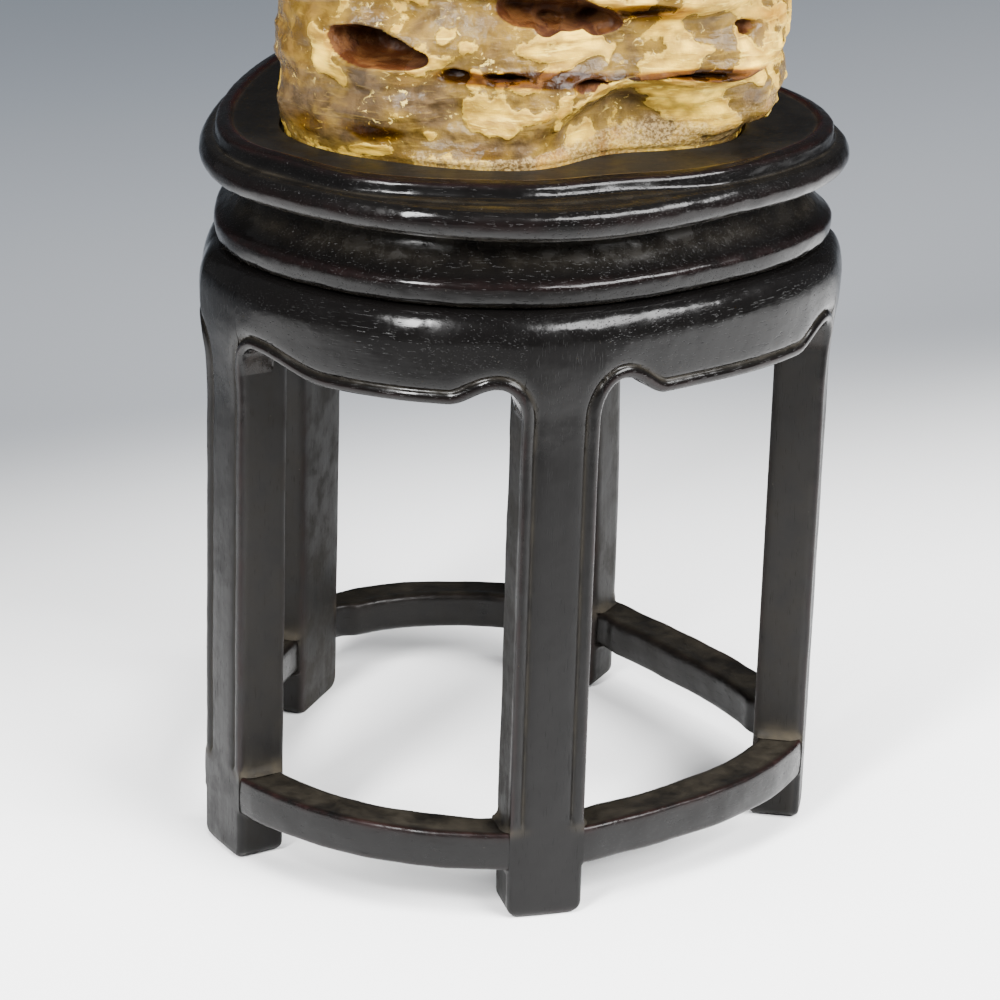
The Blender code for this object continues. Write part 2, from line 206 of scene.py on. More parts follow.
# %% Soft steps and smooth noise
def ease(value):
    """0 to 1 with a soft start and a soft end."""
    value = np.clip(value, 0.0, 1.0)
    return value * value * (3 - 2 * value)


def rounded(share):
    """The drop of a quarter circle: 0 where share is 0 or less, 1 where it is 1 or more."""
    share = np.clip(share, 0.0, 1.0)
    return 1 - np.sqrt(1 - share * share)


def hump(distance, width):
    """1 at a distance of 0, falling away to nothing at about twice the width."""
    return np.exp(-(distance / width) ** 2)


def rough(points, size, seed):
    """Smooth noise from about -1 to 1 whose lumps are about the given size."""
    shift = Vector((seed * 7.31, seed * 3.17, seed * 5.73))
    flat = points.reshape(-1, 3)
    values = [noise.noise(Vector(point) / size + shift) for point in flat]
    return np.array(values).reshape(points.shape[:-1])


print("a soft step, a quarter of the way up:", float(ease(0.25)))

# %% From rings to a piece
def joined(rings, points):
    """Faces between rings, and from the first and last ring to the two points that close them."""
    low = np.arange(rings * points).reshape(rings, points)
    ahead = np.roll(low, -1, 1)
    quads = np.stack([low[:-1], ahead[:-1], ahead[1:], low[1:]], axis=-1).reshape(-1, 4)
    first = rings * points
    faces = quads.tolist()
    faces += [(b, a, first) for a, b in zip(low[0].tolist(), ahead[0].tolist())]
    faces += [(a, b, first + 1) for a, b in zip(low[-1].tolist(), ahead[-1].tolist())]
    return faces


def six_times_volume(places, faces):
    """Above 0 where the faces look outwards."""
    total = 0.0
    for count in (3, 4):
        chosen = np.array([face for face in faces if len(face) == count])
        a = places[chosen[:, 0]]
        for i in range(1, count - 1):
            total += np.sum(a * np.cross(places[chosen[:, i]], places[chosen[:, i + 1]]))
    return total


def skin(name, grid, look, node, values, grain=None, sharp_angle=40):
    """A piece from rings of points in millimetres. values holds one grid of numbers per attribute.

    grain is the direction in which a wooden piece's grain runs."""
    rings, count = grid.shape[:2]
    ends = np.stack([grid[0].mean(0), grid[-1].mean(0)])
    places = np.concatenate([grid.reshape(-1, 3), ends]) * MM
    faces = joined(rings, count)
    if six_times_volume(places, faces) < 0:
        faces = [face[::-1] for face in faces]
    mesh = bpy.data.meshes.new(name)
    mesh.from_pydata(places.tolist(), [], faces)
    for key, value in values.items():
        attribute = mesh.attributes.new(key, "FLOAT", "POINT")
        whole = np.concatenate([value.reshape(-1), [value[0].mean(), value[-1].mean()]])
        attribute.data.foreach_set("value", whole.astype(np.float32))
    if grain is not None:
        along = np.array(grain) / np.linalg.norm(grain)
        across = np.cross(along, (0, 1, 0) if abs(along[2]) > 0.5 else (0, 0, 1))
        basis = np.stack([along, across, np.cross(along, across)], axis=1)
        attribute = mesh.attributes.new("grain", "FLOAT_VECTOR", "POINT")
        attribute.data.foreach_set("vector", (places @ basis).astype(np.float32).reshape(-1))
    mesh.materials.append(look)
    mesh.shade_smooth()
    mesh.set_sharp_from_angle(angle=math.radians(sharp_angle))
    made = bpy.data.objects.new(name, mesh)
    bpy.context.scene.collection.objects.link(made)
    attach(made, "root")
    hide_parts(node)
    print(name, "has", len(mesh.polygons), "faces")


# %% [markdown]
# ## Dark hardwood
# The stand is a dense black-brown wood, rubbed and waxed for years. From a step away it is nearly black
# and shows broken, watery highlights. Close up it has long fine pores, a little brown in the grain, red
# where edges are rubbed thin, and grey-brown dust that has settled in the carved lines and on ledges.
# The grain of each piece runs along its own length. Pieces carry the attributes `grain` (a place measured
# along and across their grain), `dust`, `wear` (rubbed thin) and `matt` (never rubbed bright).

# %% Hardwood
BLACK_BROWN = ((0.0013, 0.0012, 0.0012), (0.0036, 0.0032, 0.0030))
PORE = (0.0008, 0.0007, 0.0007)
RUBBED_RED = (0.0140, 0.0030, 0.0026)
DUST = (0.042, 0.035, 0.024)
FLECK = (0.070, 0.062, 0.052)


def hardwood():
    wood = Bench("dark hardwood")
    grain = wood.attribute("grain", "Vector")
    fibres = wood.noise(wood.stretched(grain, (40, 700, 700)), 1.0, 3.0, 0.6)
    figure = wood.noise(wood.stretched(grain, (9, 90, 90)), 1.0, 2.0)
    pores = wood.noise(wood.stretched(grain, (330, 4200, 4200)), 1.0, 1.0).between(0.64, 0.74)
    polish = wood.noise(grain, 170.0, 2.0)
    place = wood.place()
    patches = wood.noise(place, 130.0, 4.0, 0.65)
    flecks = wood.cells(place, 420.0).between(0.08, 0.03) * wood.noise(place, 90.0, 2.0).between(0.52, 0.66)
    rubbed = (wood.attribute("wear") * (patches * 3.2 - 1.05)).clip()
    dusty = (wood.attribute("dust") * (patches * 3.0 - 0.85)).clip()
    colour = wood.coats(wood.mix((figure * 0.6 + fibres * 0.5 - 0.1).clip(), *BLACK_BROWN),
                        (pores * 0.6, PORE), (rubbed * 0.75, RUBBED_RED), (dusty * 0.7, DUST),
                        (flecks * 0.4, FLECK))
    roughness = 0.07 + fibres * 0.13 + patches.between(0.45, 0.62) * 0.10 + wood.attribute("matt") * 0.30
    roughness = roughness + pores * 0.25 + dusty * 0.40 + flecks * 0.3
    height = polish * 0.8 + fibres * 0.16 - pores * 0.18 + patches * 0.16 + dusty * 0.12
    return wood.surface((height, 0.4, 0.0006), Base_Color=colour, Roughness=roughness, IOR=1.26)


wood_look = hardwood()

# %% [markdown]
# ## The plan of the stand
# The stand follows the foot of its rock, so its outline is irregular: five legs stand on one closed curve
# at uneven distances. Everything is set out from that curve by a distance called `out`, which is negative
# inwards. The curve is a spline through the legs and two points on each side.

# %% Places of the legs
LEGS = {  # name: (x, y, width, the direction that it faces in degrees)
    "leg_front_left": (-60.9, -40.3, 16, 211),
    "leg_front": (8.8, -69.0, 16, 286),
    "leg_right": (65.9, -10.0, 16, 353),
    "leg_back": (18.0, 65.0, 16, 64),
    "leg_back_left": (-54.6, 43.9, 21.5, 160),
}
SIDES = [  # name of each side, and the points its bow passes through
    ("front_left", [(-41.5, -60.8), (-21.5, -69.6)]),
    ("front_right", [(36.0, -54.0), (52.5, -39.0)]),
    ("back_right", [(61.0, 13.0), (45.5, 37.0)]),
    ("back", [(-15.5, 71.0), (-38.5, 63.5)]),
    ("left", [(-63.0, 16.0), (-65.9, -16.0)]),
]
print("legs:", len(LEGS), "sides:", len(SIDES))


# %% Plan
def closed_curve(points, steps):
    """Points along the smooth closed curve through the given points."""
    points = np.array(points, float)
    count = len(points)
    ahead = np.roll(points, -1, 0)
    behind = np.roll(points, 1, 0)
    span = np.linalg.norm(ahead - points, axis=1)
    last = np.roll(span, 1)
    system = np.diag(2 * (last + span))
    for i in range(count):
        system[i, i - 1] += last[i]
        system[i, (i + 1) % count] += span[i]
    slopes = (ahead - points) / span[:, None]
    bend = np.linalg.solve(system, 6 * (slopes - (points - behind) / last[:, None]))
    knots = np.concatenate([[0], np.cumsum(span)])
    along = np.linspace(0, knots[-1], steps, endpoint=False)
    at = np.clip(np.searchsorted(knots, along, side="right") - 1, 0, count - 1)
    to = (at + 1) % count
    a = ((knots[at + 1] - along) / span[at])[:, None]
    b = 1 - a
    bow = ((a ** 3 - a) * bend[at] + (b ** 3 - b) * bend[to]) * (span[at] ** 2 / 6)[:, None]
    return a * points[at] + b * points[to] + bow


def outward(points):
    """The unit normals of a closed anticlockwise curve."""
    run = np.roll(points, -1, 0) - np.roll(points, 1, 0)
    run /= np.linalg.norm(run, axis=1)[:, None]
    return np.stack([run[:, 1], -run[:, 0]], axis=1)


PLAN_FINENESS = 4800
PLAN = closed_curve([spot for leg, side in zip(LEGS.values(), SIDES) for spot in (leg[:2], *side[1])],
                    PLAN_FINENESS)
PLAN_NORMALS = outward(PLAN)
print("round the plan:", round(np.linalg.norm(np.diff(PLAN, axis=0), axis=1).sum()), "mm")

# %% [markdown]
# ## Mouldings
# The top board and the waist are turned mouldings that run right round the stand. A moulding is drawn as
# the few points that its profile passes through, and a Catmull-Rom spline fills in between them. Where the
# profile has a crease, two splines meet. Besides (out, height), each point says how far its line wanders
# with the hand-cut rim, how dusty it is and how rubbed.

# %% Splines through profile points
def flowing(points, spacing):
    """Points along a smooth open line through the given rows of numbers, about spacing apart."""
    points = np.array(points, float)
    padded = np.concatenate([[2 * points[0] - points[1]], points, [2 * points[-1] - points[-2]]])
    rows = []
    for before, start, end, after in zip(padded, padded[1:], padded[2:], padded[3:]):
        span = np.linalg.norm((end - start)[:2])
        first = span * (start - before) / max(np.linalg.norm((start - before)[:2]), 1e-6)
        last = span * (after - end) / max(np.linalg.norm((after - end)[:2]), 1e-6)
        leaving = (first + end - start) / 2
        arriving = (last + end - start) / 2
        steps = max(2, int(round(span / spacing)))
        t = np.arange(steps)[:, None] / steps
        rows.append((2 * t ** 3 - 3 * t ** 2 + 1) * start + (t ** 3 - 2 * t ** 2 + t) * leaving
                    + (3 * t ** 2 - 2 * t ** 3) * end + (t ** 3 - t ** 2) * arriving)
    return np.concatenate(rows + [points[-1:]])


def profile(*parts):
    """Splines from (points, spacing) pairs. Each one starts where the last one ends."""
    rows = [flowing(*parts[0])]
    for (before, _), (points, spacing) in zip(parts, parts[1:]):
        rows.append(flowing(before[-1:] + points, spacing))
    return np.concatenate(rows)


# %% Mouldings round the plan
RIM_WANDER = [  # (direction from the middle, how far the rim stands in, over how many degrees)
    (264, 3.8, 17),
    (287, 4.0, 12),
    (228, 1.5, 9),
]
MOULDING_STEPS = 600


def turn(bearing, start):
    """The turn in degrees from one direction to another, between -180 and 180."""
    return np.mod(bearing - start + 180, 360) - 180


stations = (np.arange(MOULDING_STEPS) * PLAN_FINENESS) // MOULDING_STEPS
spots = PLAN[stations]
spot_normals = PLAN_NORMALS[stations]
bearing = np.degrees(np.arctan2(spots[:, 1], spots[:, 0]))
wander = sum(inwards * hump(turn(bearing, at), spread) for at, inwards, spread in RIM_WANDER)


def swept(rows, unevenness):
    """A grid of places from a profile's rows, cut a little unevenly as a hand-carved moulding is."""
    outs = rows[:, None, 0] - rows[:, None, 2] * wander[None, :]
    flat = spots[None, :, :] + outs[..., None] * spot_normals[None, :, :]
    heights = np.broadcast_to(rows[:, None, 1], outs.shape)
    grid = np.concatenate([flat, heights[..., None]], axis=-1)
    sway = unevenness * (rough(grid, 21, 31) + 0.6 * rough(grid, 8, 32) - 0.7)
    sway += 0.4 * unevenness * rough(grid * (1, 1, 2.5), 3.8, 34)
    lift = 0.6 * unevenness * rough(grid, 26, 33)
    grid[..., :2] += sway[..., None] * spot_normals[None, :, :]
    grid[..., 2] += lift * ease((rows[:, None, 1] - rows[:, 1].min()) / 1.5)
    return grid


def all_round(column):
    """One value for each row of a moulding, kept the same all the way round."""
    return np.repeat(column[:, None], MOULDING_STEPS, axis=1)


print("the rim stands in by up to", round(float(wander.max()), 1), "mm")

# %% [markdown]
# ## The waist
# Between the frame and the top board the stand draws in. A round nose sits on the frame, and a hollow
# climbs from it to the underside of the board. The nose is rubbed bright and a line of dust lies below it.

# %% Waist
NOSE_PROFILE = profile(
    ([(-14, 131.9, 0, 0, 0), (-3.9, 131.9, 0, 1, 0), (-3.3, 132.3, 0, 1, 0)], 1.0),
    ([(-2.2, 132.65, 0, 0.4, 0), (-1.4, 133.6, 0, 0.05, 0), (-1, 135, 0, 0, 0), (-0.9, 136.3, 0, 0, 0.2),
      (-1.05, 137.1, 0, 0, 0.6), (-1.5, 137.75, 0, 0, 0.4), (-2.6, 138.6, 0, 0, 0.05),
      (-3.9, 139.8, 0, 0.1, 0), (-5.2, 141.2, 0, 0.3, 0), (-6.3, 142.6, 0, 0.3, 0),
      (-7, 143.9, 0, 0.35, 0), (-7.4, 145.4, 0, 0.6, 0), (-7.5, 146.95, 0, 1, 0)], 0.28),
    ([(-14, 146.95, 0, 0, 0)], 2.0),
)
skin("waist_moulding", swept(NOSE_PROFILE, 0.2), wood_look, "waist",
     {"dust": all_round(NOSE_PROFILE[:, 3] * 0.75), "wear": all_round(NOSE_PROFILE[:, 4] * 0.5)}, (1, 0, 0))

# %% [markdown]
# ## The top board
# The board ends in three lines: a half-round below, a fine cut line full of dust, and a slope that climbs
# to a low crest. Inside the crest the rim drops by a hair to the flat top, where the edge has been rubbed
# red. The crest doesn't keep to the outline: it was cut by eye and stands further in at the front.
# The flat top, which is duller, runs in to the seat, a shallow recess with the outline of the rock's foot.
# Rings of the flat part change over from the outline of the board to the outline of the seat.

# %% Profile of the board
BOARD_HEAD = 156.7
BOARD_PROFILE = profile(
    ([(-14, 147.0, 0, 0, 0), (-7.5, 147.0, 0, 1, 0), (-1.6, 147.05, 0, 0.9, 0)], 1.5),
    ([(-0.3, 147.35, 0, 0.6, 0), (0.95, 148.05, 0, 0.25, 0), (1.85, 149.25, 0, 0, 0.05),
      (2.15, 150.3, 0, 0, 0.2), (2.05, 151.2, 0, 0, 0.15), (1.68, 152.1, 0, 0, 0.05),
      (1.15, 152.95, 0.08, 0, 0), (0.5, 153.45, 0.2, 0.1, 0)], 0.28),
    ([(-0.2, 153.66, 0.35, 0.1, 0), (-0.75, 153.75, 0.5, 0.4, 0)], 0.25),
    ([(-0.95, 153.98, 0.62, 0.1, 0), (-1.1, 154.35, 0.86, 0, 0),
      (-1.2, 154.9, 0.94, 0, 0), (-1.3, 155.5, 0.97, 0, 0), (-1.42, 156.1, 0.99, 0, 0.1),
      (-1.7, 156.55, 1, 0, 0.3), (-2.15, 156.82, 1, 0, 0.2), (-2.9, 157.05, 1, 0, 0.1),
      (-3.6, 157.2, 1, 0, 0.3), (-4.25, 157.12, 1, 0, 1.0), (-4.6, 156.92, 1, 0.1, 1.0)], 0.24),
    ([(-4.85, 156.74, 1, 0.3, 0.5), (-5.4, BOARD_HEAD, 1, 0.1, 0)], 0.2),
)
print("points in the board's profile:", len(BOARD_PROFILE))

# %% The seat's outline
ROCK_FOOT = [  # outline of the rock's foot, anticlockwise
    (-48.1, -32.7), (-39.0, -43.5), (-22.5, -51.5), (-7.5, -54.5), (3.5, -52.0), (15.5, -40.2), (30.5, -34.2),
    (41.5, -25.7), (45.5, -5.0), (41.4, 19.3), (19.4, 38.3), (-13.5, 46.3), (-38.6, 33.3), (-48.1, 0.3),
]
OUTLINE_STEPS = 1440
SEAT_DEEP = 1.8
SEAT_ROOM = 0.35  # between the rock's foot and the wall of its seat
SEAT_RINGS = [  # (how far outside the foot, how far below the board's top), from the edge inwards
    (SEAT_ROOM + 0.06, 0.1), (SEAT_ROOM, 0.3), (SEAT_ROOM, SEAT_DEEP), (-8, SEAT_DEEP), (-22, SEAT_DEEP),
]


def reach_towards(curve, bearings):
    """How far a closed curve is from the origin in each direction."""
    directions = np.mod(np.arctan2(curve[:, 1], curve[:, 0]), 2 * math.pi)
    order = np.argsort(directions)
    return np.interp(bearings, directions[order], np.hypot(*curve.T)[order], period=2 * math.pi)


def seat_ring(room, level):
    """The outline of the rock's foot as a ring that keeps step with the stations of the mouldings."""
    curve = closed_curve(ROCK_FOOT, OUTLINE_STEPS)
    bearings = np.mod(np.arctan2(spots[:, 1], spots[:, 0]), 2 * math.pi)
    radius = reach_towards(curve + room * outward(curve), bearings)
    return np.stack([radius * np.cos(bearings), radius * np.sin(bearings), level + 0 * radius], axis=1)


# %% Top board
FLAT_SHARES = np.linspace(0, 1, 14)[1:]  # of the way over the flat top, from the rim to the seat
rim = swept(BOARD_PROFILE, 0.2)
lip = ease((BOARD_PROFILE[:, 0] + 4.5) / 3) * ease((152.5 - BOARD_PROFILE[:, 1]) / 4)
rim[..., 2] -= 0.8 * lip[:, None] * hump(turn(bearing, 282), 24)[None, :]
inner = rim[-1].copy()
inner[:, 2] = BOARD_HEAD
seat_edge = seat_ring(SEAT_ROOM + 0.25, BOARD_HEAD)
flat = [inner + (seat_edge - inner) * share for share in FLAT_SHARES]
seat = [seat_ring(room, BOARD_HEAD - below) for room, below in SEAT_RINGS]
on_crest = ease((-3.6 - BOARD_PROFILE[:, 0]) / 1.0) * ease((BOARD_PROFILE[:, 1] - 156) / 0.5)
inside = len(flat) + len(seat)
board_values = {  # on the profile, then on the flat top and in the seat
    "dust": [BOARD_PROFILE[:, 3] * 0.8, 0.05 + 0.20 * hump(1 - FLAT_SHARES, 0.3), [0.6, 0.8, 1, 1, 1]],
    "wear": [BOARD_PROFILE[:, 4] * 0.9, np.zeros(inside)],
    "matt": [on_crest, np.ones(inside)],
}
skin("board_moulding", np.concatenate([rim, np.stack(flat), np.stack(seat)]), wood_look, "top_board",
     {name: all_round(np.concatenate(columns)) for name, columns in board_values.items()}, (1, 0, 0))

# %% [markdown]
# ## The face of the frame
# Legs and aprons share one outer face. It swells towards the top and is pierced by five windows. A bead
# runs round each window: down a leg, round the arch beside it and along the apron's cusped edge. A fine
# groove parts it from the face. So the face is described once, by how far a place is from the nearest
# window's edge, and legs and aprons both sample it. Their joints then hardly show, as on the real stand.

# %% Measures of the frame
STRETCHER_FOOT = 11.1
STRETCHER_HEAD = 19.5
BULGE_START = 100.0  # the aprons and leg heads begin to swell here
BULGE_FULL = 124.5  # and are fullest here
FRAME_HEAD = 132.0
LEG_DEPTH = 11.0
APRON_DEPTH = 7.5
BULGE = 1.4
SHOULDER_IN = 3.0
APRON_EDGE = 113.0  # lower edge between the cusps
ARCH_TIP = 109.5  # where the edge leaves the leg
ARCH_REACH = 5.2  # from the leg to the top of the arch
GROOVE = 2.7  # from a window's edge to the bottom of the groove
ARCHES = {  # side: (head of the arch, run down to the cusp) at its first and its last leg
    "front_left": ((116.6, 19.0), (116.6, 10.0)),
    "front_right": ((117.6, 10.0), (117.2, 12.0)),
    "back_right": ((116.8, 10.0), (116.8, 10.0)),
    "back": ((116.8, 10.0), (116.8, 10.0)),
    "left": ((116.8, 10.0), (116.8, 10.0)),
}
print("windows are", round(APRON_EDGE - STRETCHER_HEAD, 1), "mm high between the cusps")


# %% Edges of the windows
def bulge(height):
    """How far the frame's outer face swells out at a height."""
    rising = BULGE * ease((height - BULGE_START) / (BULGE_FULL - BULGE_START))
    shoulder = rounded((height - BULGE_FULL) / (FRAME_HEAD - BULGE_FULL))
    return np.where(height < BULGE_FULL, rising, BULGE - (BULGE + SHOULDER_IN) * shoulder)


def arch(distance, head, fall):
    """Height of an apron's lower edge at a distance from the leg."""
    rise = 1 - np.clip(distance / ARCH_REACH, 0, 1)
    climbing = ARCH_TIP + (head - ARCH_TIP) * np.sqrt(1 - rise * rise)
    falling = np.clip((distance - ARCH_REACH) / fall, 0, 1)
    settled = APRON_EDGE + (head - APRON_EDGE) * (0.5 + 0.5 * np.cos(math.pi * falling))
    return np.where(distance < ARCH_REACH, climbing, settled)


def apron_edge(side, distance, length):
    """Height of the whole lower edge of one apron, by distance from its first leg."""
    first, last = ARCHES[side]
    return np.where(distance < length / 2, arch(distance, *first), arch(length - distance, *last))


def window_end(side, at_last):
    """The edge of a window beside one of its legs, as (distance from the leg, height)."""
    sweep = np.linspace(0, math.pi / 2, 60)
    reach = np.concatenate([ARCH_REACH * (1 - np.cos(sweep)), np.linspace(ARCH_REACH, 26, 80)[1:]])
    line = np.stack([reach, arch(reach, *ARCHES[side][int(at_last)])], axis=1)
    upright = np.stack([np.zeros(120), np.linspace(STRETCHER_HEAD, ARCH_TIP, 120)], axis=1)
    return np.concatenate([upright, line])


# %% Bead and groove
def nearest(places, line):
    """Distance of each (x, height) place from a line drawn as close points."""
    start, run = line[:-1], np.diff(line, axis=0)
    run_squared = np.maximum((run ** 2).sum(1), 1e-12)
    best = np.full(len(places), 1e9)
    for (x, z), (dx, dz), size in zip(start, run, run_squared):
        t = np.clip(((places[:, 0] - x) * dx + (places[:, 1] - z) * dz) / size, 0, 1)
        best = np.minimum(best, np.hypot(places[:, 0] - x - t * dx, places[:, 1] - z - t * dz))
    return best


def beading(distance, height):
    """The bead and groove round a window: how far the face stands out at a distance from its edge."""
    bead = 0.14 * hump(distance - 1.35, 0.75) - 0.75 * rounded(1 - distance / 0.75)
    shoulder = np.where(distance > GROOVE, 0.30 * hump(distance - GROOVE, 1.25), 0.30)
    groove = 0.42 * hump(distance - GROOVE, 0.42) + shoulder * ease((distance - 1.0) / 1.6)
    return (bead - groove) * ease((height - STRETCHER_HEAD - 0.4) / 2.2)


def uneven(places):
    """The slight unevenness of a face that was scraped by hand."""
    return 0.13 * rough(places, 17, 41) + 0.06 * rough(places, 5, 42) - 0.06


print("deepest groove:", round(float(beading(np.linspace(0, 8, 200), 60.0).min()), 2), "mm")

# %% [markdown]
# ## Legs
# Each leg is a flattened post with its foot below the stretchers. Its rings lie level, close together
# where the arches spring and at the foot. The front of a ring samples the shared face, and its flanks swell
# out a little above and below the stretchers, as a fillet left by the carver does. Hands and cloth reach
# only the bulging upper part, so the posts are duller below it and on their flanks.

# %% Rings of a leg
FROM_EDGE = [  # distances from a window's edge, close together over the bead and the groove
    0, 0.08, 0.2, 0.36, 0.55, 0.8, 1.1, 1.4, 1.7, 2.0, 2.2, 2.38, 2.54, 2.7, 2.86, 3.02, 3.2, 3.42, 3.7,
    4.1, 4.7, 5.5, 6.6,
]
LEG_HEIGHTS = np.concatenate([
    [0, 0.15, 0.45, 0.9, 1.4, 2.0, 2.8], np.linspace(4, 9, 5), np.linspace(9.4, 24, 44),
    np.linspace(25.5, 98, 44), np.linspace(99, 106, 12), np.linspace(106.3, 121, 74),
    np.linspace(121.5, 131.2, 24), [131.5, 131.75, 131.9, FRAME_HEAD],
])
print("rings in a leg:", len(LEG_HEIGHTS))


# %% Places of a leg
class Leg:
    """Where a leg stands in the plan: its middle, the way it faces, and the way along the outline."""

    def __init__(self, name):
        x, y, self.width, facing = LEGS[name]
        self.name = name
        self.middle = np.array((x, y), float)
        facing = math.radians(facing)
        self.face = np.array((math.cos(facing), math.sin(facing)))
        self.along = np.array((-math.sin(facing), math.cos(facing)))
        self.station = int(np.argmin(np.linalg.norm(PLAN - self.middle, axis=1)))

    def place(self, across, out):
        return self.middle + np.multiply.outer(across, self.along) + np.multiply.outer(out, self.face)

    def places(self, across, out, heights):
        return np.concatenate([self.place(across, out), heights[..., None]], axis=-1)


# %% Outline of a leg
FILLET = 2.0
FOOT_ROUND = 2.8
SLIMMER = {"leg_back": (1.7, 0)}  # how much a leg draws in above the stretchers, on each flank


def half_width(leg, height, hand):
    """Half of a leg's width at each height, on its hand -1 or +1 flank."""
    slim = SLIMMER.get(leg.name, (0, 0))[0 if hand < 0 else 1]
    half = leg.width / 2 - slim * ease((height - 24) / 80) * ease((ARCH_TIP - height) / 6)
    return half - FOOT_ROUND * rounded(1 - height / FOOT_ROUND)


def fillet(height):
    """How far a flank swells out just above and just below the stretchers."""
    above = np.clip((height - STRETCHER_HEAD) / FILLET, 0, 1)
    below = np.clip((STRETCHER_FOOT - height) / FILLET, 0, 1)
    near = 1 - np.where(height > STRETCHER_FOOT, above, below)
    outside = (height > STRETCHER_HEAD) | (height < STRETCHER_FOOT)
    return np.where(outside, FILLET * rounded(near), 0)


# %% Front of a leg
FOOT_CROWN = 0.32  # how far the middle of a leg's face stands out
HEAD_CROWN = 0.50  # and at its head, between two aprons


def leg_front(leg, left, right, before, after):
    """Places on a leg's face, between its flanks, with their dust, wear and dullness."""
    steps = np.array(FROM_EDGE)
    middle = leg.width / 2
    mid_steps = np.linspace(steps[-1], leg.width - steps[-1], 5)[1:-1]
    share = np.concatenate([steps, mid_steps, (leg.width - steps)[::-1]]) / leg.width
    across = -left + share[None, :] * (left + right)
    heights = np.broadcast_to(LEG_HEIGHTS[:, None], across.shape)
    spots_2d = np.stack([across, heights], axis=-1).reshape(-1, 2)
    lines = [(window_end(before, True) + (middle, 0)) * (-1, 1), window_end(after, False) + (middle, 0)]
    distance = np.minimum(*(nearest(spots_2d, line) for line in lines)).reshape(across.shape)
    distance = np.where(np.abs(across) > middle, np.minimum(distance, 0.0), distance)
    crown = np.maximum(FOOT_CROWN * ease((BULGE_START + 8 - heights) / 20),
                       HEAD_CROWN * ease((heights - ARCH_TIP) / 12))
    edge_away = np.minimum(across + left, right - across)
    flat = leg.places(across, np.zeros_like(across), heights)
    out = bulge(heights) + (1 - (across / middle) ** 2) * crown
    out = out + beading(distance, heights) * ease((heights - 12) / 3)
    out = out + uneven(flat) * ease((131 - heights) / 6)
    out -= (0.9 * rounded((1 - edge_away / 0.9).clip(0, 1) * ease((12.5 - heights) / 2))
            + 1.5 * rounded(1 - heights / 2.0))
    groove = hump(distance - GROOVE, 0.4) * ease((heights - STRETCHER_HEAD) / 2)
    dust = 0.35 * groove + 0.5 * hump(heights - STRETCHER_HEAD - 0.4, 1.0) * hump(edge_away, 3.0)
    wear = 0.35 * hump(distance - 0.35, 0.4) + 0.3 * hump(heights, 1.2)
    matt = 1.0 * ease((ARCH_TIP + 2 - heights) / 20) * (1 - 0.6 * hump(distance - 0.6, 1.0))
    return leg.places(across, out, heights), dust, wear, matt, out


# %% Flanks of a leg
FLANK_STEPS = np.array([0.06, 0.14, 0.25, 0.4, 0.55, 0.7, 0.82, 0.9, 0.95, 0.98, 1.0])
BACK_STEPS = np.linspace(0, 1, 9)[1:-1]
INNER_MATT = 1.35  # how dull the flanks and the back are


def leg_flank(leg, hand, edge, start):
    """Places on a flank, in order round the leg, with their dust, wear and dullness."""
    steps = FLANK_STEPS if hand > 0 else FLANK_STEPS[::-1]
    back = -LEG_DEPTH + 0.6 * rounded(1 - LEG_HEIGHTS / 1.5)[:, None]
    outs = start + steps[None, :] * (back - start)
    swell = fillet(LEG_HEIGHTS)[:, None] * ease((-outs - 0.6) / 1.6) * ease((outs + 10.8) / 1.2)
    sides = hand * (edge + swell - 1.3 * rounded((steps - 0.88) / 0.12)[None, :])
    level = np.broadcast_to(LEG_HEIGHTS[:, None], outs.shape)
    here = leg.places(sides, outs, level)
    bend = 0.26 * rough(here, 14, 43) + 0.11 * rough(here, 5, 44)
    bend = bend * ease((ARCH_TIP - level) / 8) * ease(steps / 0.2)[None, :]
    here[..., :2] += hand * bend[..., None] * leg.along
    dust = 0.12 + 0.75 * hump(level - STRETCHER_HEAD - 0.5, 2.2)
    wear = 0.45 * hump(1 - steps, 0.06)[None, :] + 0 * outs
    return here, dust, wear, INNER_MATT * ease((steps - 0.02) / 0.1)[None, :] + 0 * outs


# %% Five legs
def leg_rows(leg, before, after):
    """The rings of a leg: its front, right flank, back and left flank, with their values."""
    left = half_width(leg, LEG_HEIGHTS, -1)[:, None]
    right = half_width(leg, LEG_HEIGHTS, 1)[:, None]
    *front, out = leg_front(leg, left, right, before, after)
    right_flank = leg_flank(leg, 1, right, out[:, -1:])
    left_flank = leg_flank(leg, -1, left, out[:, :1])
    from_here, to_here = right_flank[0][:, -1:], left_flank[0][:, :1]
    back = from_here + BACK_STEPS[None, :, None] * (to_here - from_here)
    shape = back.shape[:2]
    back = (back, np.full(shape, 0.25), np.zeros(shape), np.full(shape, INNER_MATT))
    return [np.concatenate(columns, axis=1) for columns in zip(front, right_flank, back, left_flank)]


legs = [Leg(name) for name in LEGS]
for number, leg in enumerate(legs):
    rows, dust, wear, matt = leg_rows(leg, SIDES[number - 1][0], SIDES[number][0])
    skin(leg.name + "_carved", rows, wood_look, leg.name, {"dust": dust, "wear": wear, "matt": matt},
         (0, 0, 1))

# %% [markdown]
# ## Sides of the frame
# A side is a path along the plan from one leg to the next. Near each leg it turns until its end lies flat
# against the leg. Aprons and stretchers both follow such a path.

# %% Paths between the legs
TURNING = 12.0  # near a leg a side turns, over this length, to lie flat against it


